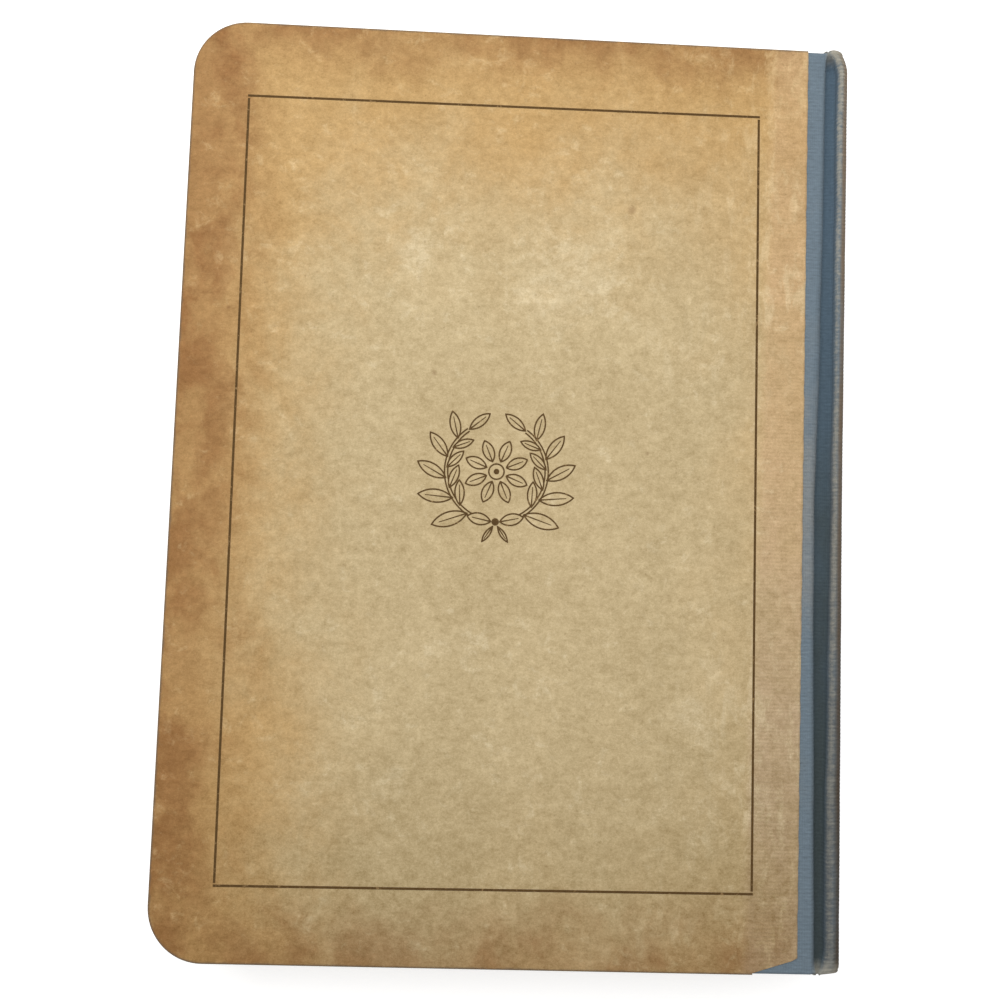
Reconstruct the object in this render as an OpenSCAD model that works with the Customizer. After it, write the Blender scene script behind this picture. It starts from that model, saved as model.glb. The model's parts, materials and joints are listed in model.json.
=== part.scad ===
// Hardback book, quarter bound: a ribbed cloth spine, paper over the boards, and rounded fore-edge corners.
// It lies closed on its front cover. The spine is at +X, the head at +Y, and the back cover faces up at +Z.
// The origin is on the surface it lies on, under the middle of the closed book.
// Each layer of the binding is modelled as it is built up, from the sewn pages to the papers on the boards.

/* [Book] */
// Width of the closed book, from the fore-edge to the outside of the spine
book_w = 137.4; // [110:0.1:180]
// Height of the covers, from tail to head
book_h = 190; // [150:1:250]
// Thickness of the pages alone
pages_t = 19; // [10:0.5:45]
// Radius of the covers' two fore-edge corners
corner_r = 11; // [6:0.5:20]
// How far the covers stand past the pages at head, tail and fore-edge
square_w = 3; // [2:0.5:5]

/* [Covers] */
// Thickness of each board
board_t = 2.2; // [1.6:0.1:3.5]
// Rounding of the boards' pressed edges
board_edge_r = 0.5; // [0.2:0.1:0.7]
// Thickness of the paper that covers the boards
paper_t = 0.2; // [0.1:0.05:0.3]
// Distance from the outside of the spine to the near edge of the covering paper
paper_u = 9.3; // [8:0.1:12]
// How far the covering paper turns in on the inside, from the cover's edge
turn_in_w = 15; // [10:1:20]
// Length of the slanted cut at the tail of the back cover's paper, along the tail
slant_w = 10.5; // [4:0.5:14]
// Height of that slanted cut at the cloth
slant_h = 3.3; // [1:0.1:6]

/* [Spine] */
// How far the rounded spine bulges past its two ridges
spine_round = 0.9; // [0.5:0.1:2.5]
// Width of the ridge that the cloth makes over each shoulder
ridge_w = 2.1; // [1.8:0.1:2.6]
// How far the ridges lie below the outer faces of the covers
ridge_drop = 0.3; // [0.1:0.1:0.8]
// Width of the groove between the ridge and the board
groove_w = 3.6; // [2.4:0.05:4]
// Radius of the cloth in the bottom of the groove
groove_r = 0.6; // [0.3:0.1:0.8]
// Rounding of the cloth where it turns down over the board's edge
board_bend_r = 1.3; // [0.5:0.1:1.4]
// Thickness of the spine cloth
cloth_t = 0.28; // [0.2:0.02:0.36]
// How far the cloth reaches from the outside of the spine, at the head
lap_head_u = 16.5; // [14:0.1:24]
// How far the cloth reaches from the outside of the spine, at the tail
lap_tail_u = 20.2; // [14:0.1:24]
// Thickness of the card inside the cloth
card_t = 0.4; // [0.3:0.05:0.6]
// Room left in the hollow, beside the cloth that is turned in between the card and the lined pages
hollow_room = 0.12; // [0.1:0.02:0.3]
// How far the cloth turns in over the card at head and tail
turn_depth = 12; // [6:1:20]

/* [Pages] */
// Number of folded sections that are sewn together
sections = 12; // [6:1:24]
// Depth of the valleys between the sections along the back
section_valley = 0.3; // [0.1:0.05:0.5]
// Diameter of the sewing thread
thread_d = 0.3; // [0.2:0.05:0.4]
// Length of each stitch outside the fold
stitch_l = 14; // [8:1:18]
// Distance between the rows of stitches
stitch_pitch = 34; // [24:1:36]
// Number of rows of stitches
stitch_rows = 5; // [3:1:5]
// Thickness of each endpaper
end_t = 0.15; // [0.1:0.05:0.3]
// How far each pasted endpaper stays inside the cover's edges
paste_margin = 2.2; // [1.5:0.1:4]
// Thickness of the mull, the open gauze glued over the sewn back
mull_t = 0.12; // [0.1:0.02:0.16]
// How far the mull reaches onto each board
mull_flange_w = 24; // [12:1:32]
// How far the mull stays short of head and tail
mull_margin = 24; // [10:1:30]
// Thickness of the paper that lines the back
lining_t = 0.1; // [0.08:0.02:0.14]

/* [Print] */
// Thickness of the printed lines on the back cover
ink_t = 0.05; // [0.03:0.01:0.1]
// Width of the lines of the frame
rule_w = 0.46; // [0.2:0.02:0.6]
// Margin from the fore-edge to the frame
rule_fore_margin = 12; // [8:0.1:20]
// Margin from the outside of the spine to the frame
rule_spine_margin = 18.9; // [14:0.1:26]
// Margin from head and tail to the frame
rule_end_margin = 15.2; // [10:0.1:25]
// Angle by which the print is turned on the cover
print_turn = 0.37; // [-1:0.01:1]
// Gap where the frame's rules don't quite meet
rule_gap = 0.3; // [0.1:0.05:1]
// Radius of the ring that the ornament's leaves grow on
wreath_r = 10.2; // [9:0.1:11]
// Height of the ornament's centre above the middle of the frame
wreath_rise = 3.3; // [-20:0.1:20]
// Width of the ornament's lines
stroke_w = 0.3; // [0.2:0.02:0.4]
// Length and width of the wreath's largest leaf
leaf_l = 7.9; // [5:0.1:9]
leaf_w = 3.1; // [2:0.1:4]
// Length and width of the rosette's petals
petal_l = 4.9; // [3:0.1:5.4]
petal_w = 2.5; // [1.6:0.1:2.6]
// Number of petals in the rosette
petals = 8; // [5:1:10]
// Radius of the rosette's middle
boss_r = 1.7; // [1:0.1:2]
// Width of the wreath's stems
stem_w = 0.95; // [0.8:0.05:1.4]
// Length and width of the bow's loops
bow_l = 5.2; // [4:0.1:6]
bow_w = 2.6; // [2:0.1:3]
// Length and width of the bow's two tails
tail_l = 4.2; // [3:0.1:5]
tail_w = 1.3; // [1:0.1:2]
// Radius of the bow's knot
knot_r = 0.75; // [0.5:0.05:1]

/* [Hidden] */
$fn = 96;
eps = 0.01;        // how far a cutting shape passes the face that it cuts
arc_steps = 5;     // facets in a small rounding
corner_steps = 16; // facets in a leaf's rounded corner
spine_steps = 10;  // facets in half of the spine's round
joint_gap = 0.35;  // room between the cover's moving cloth and the cloth in the groove
fold_gap = 0.1;    // room between the folded cloth and the ends of the pages
far = 400;         // longer than any part
stem_foot = -74;   // where each stem starts, as an angle on the ring
stem_top = 55;     // where its end leaf grows
bow_rise = 12;     // angle of the bow's loops
tail_fall = -56;   // angle of its tails
vein_share = 0.78; // how much of a leaf its vein reaches

// Each leaf of a stem: its angle on the ring, its lean, and its size against the largest.
stem_leaves = concat(
    [for (i = [0:4]) [-57 + 24 * i, 52, 1 - 0.06 * i]],
    [for (i = [0:3]) [-45 + 24 * i, -42, 0.7 - 0.03 * i]],
    [[stem_top, 4, 0.72]]
);

paper_tan = [0.78, 0.66, 0.47];
cloth_blue = [0.40, 0.47, 0.53];
page_cream = [0.86, 0.80, 0.66];
end_cream = [0.84, 0.78, 0.65];
board_grey = [0.62, 0.56, 0.46];
ink_black = [0.13, 0.11, 0.09];

// Levels, measured from the middle of the book's thickness.
pages_half = pages_t / 2;
fly_half = pages_half + end_t;
paste_half = fly_half + end_t;
board_in = paste_half + paper_t;
board_out = board_in + board_t;
half_t = board_out + paper_t;
groove_half = fly_half + mull_t + cloth_t;
crest_half = half_t - ridge_drop;

// The spine's outer surface is an arc, and each ridge is a smaller arc tangent to it on the inside.
ridge_r = ridge_w / 2;
spine_r = (pow(crest_half, 2) + pow(spine_round, 2)) / (2 * spine_round);
spine_c = [book_w / 2 - spine_r, 0];
crest_angle = asin((crest_half - ridge_r) / (spine_r - ridge_r));
crest_c = spine_c + (spine_r - ridge_r) * [cos(crest_angle), sin(crest_angle)];
ridge_in_x = crest_c.x - ridge_r;
// The groove's rounding fits under the ridge.
groove_fillet = min(groove_r, crest_c.y - groove_half - eps);

// Across the book, from the ridge to the board.
cover_edge_x = ridge_in_x - groove_w;
board_edge_x = cover_edge_x - cloth_t;
groove_end_x = cover_edge_x + joint_gap;
pages_end_x = ridge_in_x - groove_fillet;
fore_x = -book_w / 2;

// Depths of the spine's layers below the cloth's outer surface.
card_in = cloth_t + card_t;
flap_in = card_in + cloth_t;
lining_out = flap_in + hollow_room;
mull_out = lining_out + lining_t;
mull_in = mull_out + mull_t;
fold_out = mull_in + thread_d;

// A point on the book's width, measured from the outside of the spine as a ruler would be laid.
function from_spine(u) = book_w / 2 - u;

function arc(c, r, from, to, steps) =
    [for (i = [0:steps]) let (a = from + (to - from) * i / steps) c + r * [cos(a), sin(a)]];

function flipped(points) = [for (i = [len(points) - 1:-1:0]) [points[i].x, -points[i].y]];

// One side of the cloth's outer surface, moved in by the depth: the groove's floor, then up over the ridge.
function ridge_side(depth) = concat(
    [[groove_end_x, groove_half - depth]],
    arc([ridge_in_x - groove_fillet, groove_half + groove_fillet], groove_fillet + depth, -90, 0, arc_steps),
    arc(crest_c, ridge_r - depth, 180, crest_angle, 2 * arc_steps)
);

// The same side, and on round to the middle of the spine.
function cloth_side(depth) = concat(
    ridge_side(depth),
    [for (i = [spine_steps - 1:-1:0])
        let (a = crest_angle * i / spine_steps)
        spine_c + (spine_r - depth) * [cos(a), sin(a)]]
);

// What lies inside the cloth by one depth on the grooves and ridges, and by another on the spine's round.
module layer_outline(wall, back) {
    side = cloth_side(wall);
    reach = crest_angle * (1 + 4 / spine_steps);
    intersection() {
        polygon(concat(side, [for (p = flipped(side)) if (p.y < -eps) p]));
        polygon(concat(
            [[fore_x, -book_h]],
            arc(spine_c, spine_r - back, -reach, reach, 2 * spine_steps + 8),
            [[fore_x, book_h]]
        ));
    }
}

// A layer between two outlines.
module layer(outer_wall, outer_back, inner_wall, inner_back) {
    difference() {
        layer_outline(outer_wall, outer_back);
        layer_outline(inner_wall, inner_back);
    }
}

// A curved strip inside the spine, between two depths, from ridge to ridge.
module back_strip(outer, inner) {
    steps = 2 * spine_steps;
    polygon(concat(
        arc(spine_c, spine_r - outer, -crest_angle, crest_angle, steps),
        arc(spine_c, spine_r - inner, crest_angle, -crest_angle, steps)
    ));
}

// Stands a cross-section up, as long as the book's part is high.
module along_spine(length) {
    translate([0, 0, half_t])
        rotate([90, 0, 0])
            linear_extrude(height = length, center = true)
                children();
}

// Puts a cover's part, drawn for the upper side, on either side of the book.
module on_side(side) {
    translate([0, 0, half_t])
        mirror([0, 0, side == "front" ? 1 : 0])
            children();
}

// A leaf's outline: square at the spine, rounded at the two fore-edge corners.
module leaf_outline(fore, spine, half_h, r) {
    polygon(concat(
        [[spine, -half_h], [spine, half_h]],
        arc([fore + r, half_h - r], r, 90, 180, corner_steps),
        arc([fore + r, r - half_h], r, 180, 270, corner_steps)
    ));
}

// A board's body, grown by g all round, with its long edges rounded by r.
module board_body(g) {
    r = board_edge_r + g;
    low = board_in - g;
    high = board_out + g;
    fore = fore_x + paper_t - g;
    half_h = book_h / 2 - paper_t + g;
    corner = corner_r - paper_t + g;
    edge = concat(arc([-r, high - r], r, 90, 0, arc_steps), arc([-r, low + r], r, 0, -90, arc_steps));
    rim = concat([[0, high]], [for (p = edge) [corner, 0] + p], [[0, low]]);
    // The run between the fore-edge corners.
    translate([fore + corner, 0, 0])
        rotate([90, 0, 180])
            linear_extrude(height = 2 * (half_h - corner), center = true)
                polygon(rim);
    // The two corners.
    for (end = [-1, 1])
        translate([fore + corner, end * (half_h - corner), 0])
            rotate([0, 0, end > 0 ? 90 : 180])
                rotate_extrude(angle = 90)
                    polygon(rim);
    // The rest, from the corners to the joint.
    head_edge = [for (p = edge) [half_h, 0] + p];
    tail_edge = [for (i = [len(edge) - 1:-1:0]) [-half_h - edge[i].x, edge[i].y]];
    translate([fore + corner, 0, 0])
        rotate([90, 0, 90])
            linear_extrude(height = cover_edge_x - fore - corner)
                polygon(concat(head_edge, tail_edge));
}

// The cover's section at the joint, inset by i, with the bend of the cloth over the board's edge.
module joint_section(i, low) {
    r = board_bend_r - i;
    polygon(concat(
        [[-far, low], [cover_edge_x - i, low]],
        arc([cover_edge_x - i - r, board_out - i - r], r, 0, 90, arc_steps),
        [[-far, board_out - i]]
    ));
}

module cover_core() {
    intersection() {
        board_body(0);
        rotate([90, 0, 0])
            linear_extrude(height = far, center = true)
                joint_section(0, -far);
    }
}

// Where the cloth's slanted edge lies under the paper, at height y.
function lap_x(y) = from_spine(lap_tail_u + (lap_head_u - lap_tail_u) * (y / book_h + 0.5));

// The room that the cloth takes out of the cover: its lap, its bend down the edge, and its turn-ins.
module cloth_room() {
    half_h = book_h / 2 - paper_t;
    difference() {
        linear_extrude(height = far, center = true)
            polygon([[lap_x(-book_h), -book_h], [far, -book_h], [far, book_h], [lap_x(book_h), book_h]]);
        rotate([90, 0, 0])
            linear_extrude(height = 2 * (half_h - cloth_t), center = true)
                joint_section(cloth_t, board_in + cloth_t);
        rotate([90, 0, 0])
            linear_extrude(height = 2 * (half_h - turn_in_w), center = true)
                joint_section(cloth_t, -far);
    }
}

module board(side) {
    color(board_grey)
        on_side(side)
            difference() {
                cover_core();
                cloth_room();
            }
}

module cover_cloth(side) {
    color(cloth_blue)
        on_side(side)
            intersection() {
                cover_core();
                cloth_room();
            }
}

// The covering paper wraps three edges and turns in round an open window.
// The back cover's is cut on a slant at the tail.
module cover_paper(side) {
    window_half = book_h / 2 - turn_in_w;
    color(paper_tan)
        on_side(side)
            difference() {
                board_body(paper_t);
                board_body(0);
                translate([from_spine(paper_u), -far, -far])
                    cube([far, 2 * far, 2 * far]);
                translate([fore_x + turn_in_w, -window_half, -far])
                    cube([far, 2 * window_half, far + board_in]);
                if (side == "back")
                    linear_extrude(height = far)
                        polygon([
                            [from_spine(paper_u + slant_w), -book_h / 2 - eps],
                            [from_spine(paper_u) + eps, -book_h / 2 - eps],
                            [from_spine(paper_u) + eps, slant_h - book_h / 2]
                        ]);
            }
}

module mull_flange_body() {
    translate([board_edge_x - mull_flange_w, mull_margin - book_h / 2, board_in - mull_t])
        cube([mull_flange_w, book_h - 2 * mull_margin, mull_t]);
}

module mull_flange(side) {
    color("linen") on_side(side) mull_flange_body();
}

// The pasted endpaper covers the turn-ins and fills the window between them, over the mull.
module pastedown(side) {
    window_half = book_h / 2 - turn_in_w;
    color(end_cream)
        on_side(side)
            difference() {
                union() {
                    translate([0, 0, fly_half])
                        linear_extrude(height = end_t)
                            leaf_outline(
                                fore_x + paste_margin, board_edge_x,
                                book_h / 2 - paste_margin, corner_r - paste_margin
                            );
                    translate([fore_x + turn_in_w, -window_half, fly_half])
                        cube([board_edge_x - fore_x - turn_in_w, 2 * window_half, board_in - fly_half]);
                }
                mull_flange_body();
            }
}

module flyleaf(side) {
    color(end_cream)
        on_side(side)
            translate([0, 0, pages_half])
                linear_extrude(height = end_t)
                    leaf_outline(fore_x + square_w, pages_end_x, book_h / 2 - square_w, corner_r - square_w);
}

// The folds lie between the feet of the two ridges.
foot_y = groove_half + groove_fillet;
fold_r = spine_r - fold_out;
fold_angle = asin(foot_y / fold_r);
fold_steps = 6;

// How deep the back lies below the folds' tops, for step j across fold k.
// The outermost folds have no outer valley.
function valley(k, j) =
    let (
        across = j / fold_steps,
        outermost = (k == 0 && across < 0.5) || (k == sections - 1 && across > 0.5)
    )
    outermost ? 0 : section_valley * (1 - sin(180 * across));

// The sewn back of the pages, with one rounded fold for each section.
function section_backs() =
    [for (k = [0:sections - 1], j = [0:fold_steps]) if (j > 0 || k == 0)
        let (a = fold_angle * (1 - 2 * (k + j / fold_steps) / sections))
        spine_c + (fold_r - valley(k, j)) * [cos(a), sin(a)]];

// The fore-edge hollows by as much as the back is rounded over the same thickness.
fore_hollow = spine_r - sqrt(pow(spine_r, 2) - pow(pages_half, 2));
fore_r = (pow(pages_half, 2) + pow(fore_hollow, 2)) / (2 * fore_hollow);
fore_angle = asin(pages_half / fore_r);

// The pages' cross-section: flat sides and backed shoulders, cut to the folds and to the hollow fore-edge.
module pages_section() {
    fore = fore_x + square_w;
    shoulder = [for (p = ridge_side(cloth_t + mull_t)) if (p.x > pages_end_x - eps && p.y < foot_y + eps) p];
    side = concat([[fore, pages_half], [pages_end_x, pages_half]], shoulder, [[book_w, foot_y]]);
    backs = section_backs();
    difference() {
        intersection() {
            polygon(concat(side, flipped(side)));
            polygon(concat(
                [[fore - square_w, half_t], [backs[0].x, half_t]],
                backs,
                [[backs[0].x, -half_t], [fore - square_w, -half_t]]
            ));
        }
        polygon(arc([fore + fore_hollow - fore_r, 0], fore_r, fore_angle, -fore_angle, 2 * spine_steps));
    }
}

module text_block() {
    color(page_cream)
        intersection() {
            along_spine(book_h - 2 * square_w) pages_section();
            linear_extrude(height = far)
                leaf_outline(fore_x + square_w, far, book_h / 2 - square_w, corner_r - square_w);
        }
}

// One stitch lies on each section's fold in each row.
module sewing_thread() {
    lay_r = spine_r - mull_in - thread_d / 2;
    color("ivory")
        for (k = [0:sections - 1], row = [0:stitch_rows - 1]) {
            a = fold_angle * (1 - 2 * (k + 0.5) / sections);
            y = (row - (stitch_rows - 1) / 2) * stitch_pitch;
            translate([spine_c.x + lay_r * cos(a), y, half_t + lay_r * sin(a)])
                rotate([90, 0, 0])
                    cylinder(d = thread_d, h = stitch_l, center = true, $fn = 16);
        }
}

module spine_mull() {
    color("linen")
        along_spine(book_h - 2 * mull_margin)
            layer(cloth_t, mull_out, cloth_t + mull_t, mull_in);
}

module spine_lining() {
    color("tan") along_spine(book_h - 2 * square_w) back_strip(lining_out, mull_out);
}

module spine_card() {
    color(board_grey) along_spine(book_h - 2 * cloth_t) back_strip(cloth_t, card_in);
}

// The cloth over the back, the ridges and the grooves. At head and tail it folds over the card and turns in.
module spine_cloth() {
    fold_l = square_w - fold_gap;
    color(cloth_blue) {
        along_spine(book_h) layer(0, 0, cloth_t, cloth_t);
        for (end = [-1, 1]) {
            translate([0, end * (book_h - cloth_t) / 2, 0])
                along_spine(cloth_t) layer(0, 0, 2 * cloth_t, flap_in);
            translate([0, end * (book_h - fold_l) / 2, 0])
                along_spine(fold_l) layer(cloth_t / 2, card_in, 2 * cloth_t, flap_in);
            translate([0, end * (book_h - turn_depth) / 2, 0])
                along_spine(turn_depth) back_strip(card_in, flap_in);
        }
    }
}

// Prints a flat shape on the back cover, round the middle of the printed frame.
module printed() {
    color(ink_black)
        on_side("back")
            translate([(fore_x + rule_fore_margin + from_spine(rule_spine_margin)) / 2, 0, half_t])
                rotate(print_turn)
                    linear_extrude(height = ink_t)
                        children();
}

// The frame is printed from four separate rules, so its corners don't quite meet.
module rule_frame() {
    half_w = (book_w - rule_fore_margin - rule_spine_margin) / 2;
    half_h = book_h / 2 - rule_end_margin;
    printed() {
        for (s = [-1, 1]) {
            translate([0, s * (half_h - rule_w / 2)]) square([2 * half_w, rule_w], center = true);
            translate([s * (half_w - rule_w / 2), 0])
                square([rule_w, 2 * (half_h - rule_gap - rule_w)], center = true);
        }
    }
}

// A pointed leaf along +X from the origin, where two circles cross, drawn in by i.
module leaf(l, w, i = 0) {
    r = (l * l + w * w) / (4 * w);
    intersection_for (s = [-1, 1])
        translate([l / 2, s * (r - w / 2)]) circle(r = r - i, $fn = 240);
}

// A leaf in outline, with a vein that thins towards the tip.
module leaf_line(l, w) {
    difference() {
        leaf(l, w);
        leaf(l, w, stroke_w);
    }
    vein = stroke_w / 2;
    polygon([[vein, -vein], [vein, vein], [vein_share * l, vein / 2], [vein_share * l, -vein / 2]]);
}

// Puts a leaf on the right-hand stem, at an angle on the ring and leaning away from it by lean.
module on_stem(a, lean) {
    rotate(a) translate([wreath_r, 0]) rotate(90 - lean) children();
}

// Puts the bow's right-hand loop beside the knot.
module on_knot() {
    translate([knot_r, -wreath_r]) rotate(bow_rise) children();
}

// The stem between its foot and its top, drawn as two lines and left open under the leaves.
module stem_line() {
    difference() {
        circle(r = wreath_r + stem_w / 2);
        circle(r = wreath_r - stem_w / 2);
        difference() {
            circle(r = wreath_r + stem_w / 2 - stroke_w);
            circle(r = wreath_r - stem_w / 2 + stroke_w);
        }
        rotate(stem_top) translate([-far, 0]) square([2 * far, far]);
        rotate(stem_foot) translate([-far, -far]) square([2 * far, far]);
        for (s = stem_leaves) on_stem(s[0], s[1]) leaf(leaf_l * s[2], leaf_w * s[2]);
        on_knot() leaf(bow_l, bow_w);
    }
}

module spray() {
    stem_line();
    for (s = stem_leaves) on_stem(s[0], s[1]) leaf_line(leaf_l * s[2], leaf_w * s[2]);
}

module rosette() {
    for (k = [0:petals - 1])
        rotate(360 * (k + 0.5) / petals)
            translate([boss_r + stroke_w, 0]) leaf_line(petal_l, petal_w);
    difference() {
        circle(r = boss_r);
        circle(r = boss_r - stroke_w);
    }
    circle(r = boss_r / 3);
}

module bow() {
    for (s = [0, 1])
        mirror([s, 0]) {
            on_knot() leaf_line(bow_l, bow_w);
            translate([knot_r / 2, -wreath_r - knot_r]) rotate(tail_fall) leaf_line(tail_l, tail_w);
        }
    translate([0, -wreath_r]) circle(r = knot_r);
}

// A wreath of two leafy stems tied with a bow, round a rosette.
module ornament_shape() {
    for (s = [0, 1]) mirror([s, 0]) spray();
    rosette();
    bow();
}

module ornament() {
    printed()
        translate([0, wreath_rise]) ornament_shape();
}

text_block();
sewing_thread();
spine_mull();
spine_lining();
spine_card();
spine_cloth();
flyleaf("back");  // back_flyleaf
flyleaf("front");  // front_flyleaf
board("back");  // back_board
cover_cloth("back");  // back_cover_cloth
cover_paper("back");  // back_cover_paper
mull_flange("back");  // back_mull_flange
pastedown("back");  // back_pastedown
rule_frame();  // back_rule_frame
ornament();  // back_ornament
board("front");  // front_board
cover_cloth("front");  // front_cover_cloth
cover_paper("front");  // front_cover_paper
mull_flange("front");  // front_mull_flange
pastedown("front");  // front_pastedown
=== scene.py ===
# %% [markdown]
# # A quarter-bound hardback book
#
# A closed book lies on its front cover. Its construction comes from the frame: boards, sewn pages, mull,
# endpapers and print, each at its real size. This lesson gives it its looks. Three things repay the work
# on such a book: the ribbed cloth that runs over the spine into the grooves, the old paper on the boards,
# and the leaves that show at the edges. All the rest keeps its shape from the frame and only gets a
# finish.

# %% Load the frame
import json
import math

import bmesh
import bpy
import numpy as np
from mathutils import Matrix, Vector


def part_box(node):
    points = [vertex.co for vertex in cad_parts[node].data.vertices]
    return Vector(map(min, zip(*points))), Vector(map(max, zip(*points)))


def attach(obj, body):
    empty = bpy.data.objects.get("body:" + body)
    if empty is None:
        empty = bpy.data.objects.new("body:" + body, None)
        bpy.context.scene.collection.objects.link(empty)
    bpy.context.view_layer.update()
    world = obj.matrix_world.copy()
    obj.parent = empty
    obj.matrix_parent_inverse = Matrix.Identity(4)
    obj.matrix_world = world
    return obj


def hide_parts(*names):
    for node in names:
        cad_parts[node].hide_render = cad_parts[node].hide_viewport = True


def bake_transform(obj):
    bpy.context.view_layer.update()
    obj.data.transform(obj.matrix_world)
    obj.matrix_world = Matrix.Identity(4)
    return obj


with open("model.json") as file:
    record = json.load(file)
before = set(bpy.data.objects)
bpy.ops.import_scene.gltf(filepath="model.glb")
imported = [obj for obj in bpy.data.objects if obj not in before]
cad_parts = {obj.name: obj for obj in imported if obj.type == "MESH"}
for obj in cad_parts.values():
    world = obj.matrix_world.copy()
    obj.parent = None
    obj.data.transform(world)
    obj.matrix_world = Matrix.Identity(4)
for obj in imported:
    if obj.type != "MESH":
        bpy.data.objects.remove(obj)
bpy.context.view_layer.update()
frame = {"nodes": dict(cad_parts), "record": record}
nodes = frame["nodes"]
MM = 0.001
FULL_TURN = 2 * math.pi
print("pieces in the frame:", len(nodes))


# %% [markdown]
# ## The camera
#
# A camera has a place, a direction that it looks in and a direction that is up for it. Here all three
# were worked out from the four corners of the book in the photograph and its real size. Three such
# directions at right angles are the columns of a rotation matrix, so no angles have to be guessed.

# %% Camera
CAMERA_PLACE = Vector((-10.8, -19.0, 246.6)) * MM
CAMERA_LOOK = Vector((0.0370, 0.0744, -0.9965))
CAMERA_UP = Vector((-0.0357, 0.9967, 0.0731))
LENS_MM = 39.6
SENSOR_MM = 36.0
CLIP_START = 0.01


def add_camera():
    """A camera at CAMERA_PLACE. A camera looks along its own -Z."""
    data = bpy.data.cameras.new("camera")
    data.lens = LENS_MM
    data.sensor_width = SENSOR_MM
    data.clip_start = CLIP_START
    camera = bpy.data.objects.new("camera", data)
    back = -CAMERA_LOOK.normalized()
    right = CAMERA_UP.cross(back).normalized()
    up = back.cross(right)
    turn = Matrix((right, up, back)).transposed()
    camera.matrix_world = Matrix.Translation(CAMERA_PLACE) @ turn.to_4x4()
    bpy.context.scene.collection.objects.link(camera)
    bpy.context.scene.camera = camera


add_camera()


# %% [markdown]
# ## Sizes
#
# The frame gives the outer sizes, so that the pieces made here always fit it. All the work below is in
# millimetres. A height is measured from the middle of the book's thickness, because the two covers mirror
# each other there.


# %% Sizes read from the frame
def span(node, axis, middle=0.0):
    """The lowest and highest coordinate of a node along an axis, in millimetres from a middle."""
    low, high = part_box(node)
    return low[axis] / MM - middle, high[axis] / MM - middle


fore_x, paper_edge_x = span("back_cover_paper", 0)
spine_x = span("spine_cloth", 0)[1]
half_h = span("spine_cloth", 1)[1]
thickness = span("back_cover_paper", 2)[1]
mid_z = thickness / 2
cloth_edge_x = span("back_cover_cloth", 0)[1]
board_edge_x = span("back_board", 0)[1]
board_in, board_out = span("back_board", 2, mid_z)
pages_half, fly_half = span("back_flyleaf", 2, mid_z)
crest_h = span("spine_cloth", 2, mid_z)[1]
paper_in = span("back_cover_paper", 2, mid_z)[0]
mull_in, mull_out = span("back_mull_flange", 2)
mull_t = mull_out - mull_in
mull_half_h = span("spine_mull", 1)[1]
pages_fore_x, pages_end_x = span("back_flyleaf", 0)
pages_half_h = span("back_flyleaf", 1)[1]
card_half_h = span("spine_card", 1)[1]
paper_t = mid_z - board_out
print(f"book {spine_x - fore_x:.1f} x {2 * half_h:.1f} x {thickness:.1f} mm")
print(f"board {board_in:.2f} to {board_out:.2f} from the middle, cloth's edge at x {cloth_edge_x:.2f}")
print(f"half heights: card {card_half_h:.2f}, mull {mull_half_h:.2f}, pages {pages_half_h:.2f}")

# %% Sizes that only the looks need
LAP_HEAD = 16.5
LAP_TAIL = 20.2
RIB_PITCH = 0.775
WARP_PITCH = 0.42
CORNER_R = 11.0
lap_head_x = spine_x - LAP_HEAD
lap_tail_x = spine_x - LAP_TAIL


# %% [markdown]
# ## Writing a shader as arithmetic
#
# A finish is a sum of small effects: clouds of toning, a fleck here, a worn rib there. Written as
# arithmetic such a sum is easy to read. The class below wraps an output socket, and every operator on it
# adds the Math node that does the work. The same class serves the trees of Geometry Nodes.


# %% Wires and nodes
def connect(value, socket):
    """Links a Wire to a socket, or gives the socket a plain value."""
    if isinstance(value, Wire):
        value.tree.links.new(value.socket, socket)
    else:
        socket.default_value = value


def add_node(tree, kind, values=None, out=0, **settings):
    """Adds a node with its settings, then fills its sockets. Returns one output as a Wire."""
    node = tree.nodes.new(kind)
    for key, value in settings.items():
        setattr(node, key, value)
    for key, value in (values or {}).items():
        connect(value, node.inputs[key])
    return Wire(tree, node.outputs[out])


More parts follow.
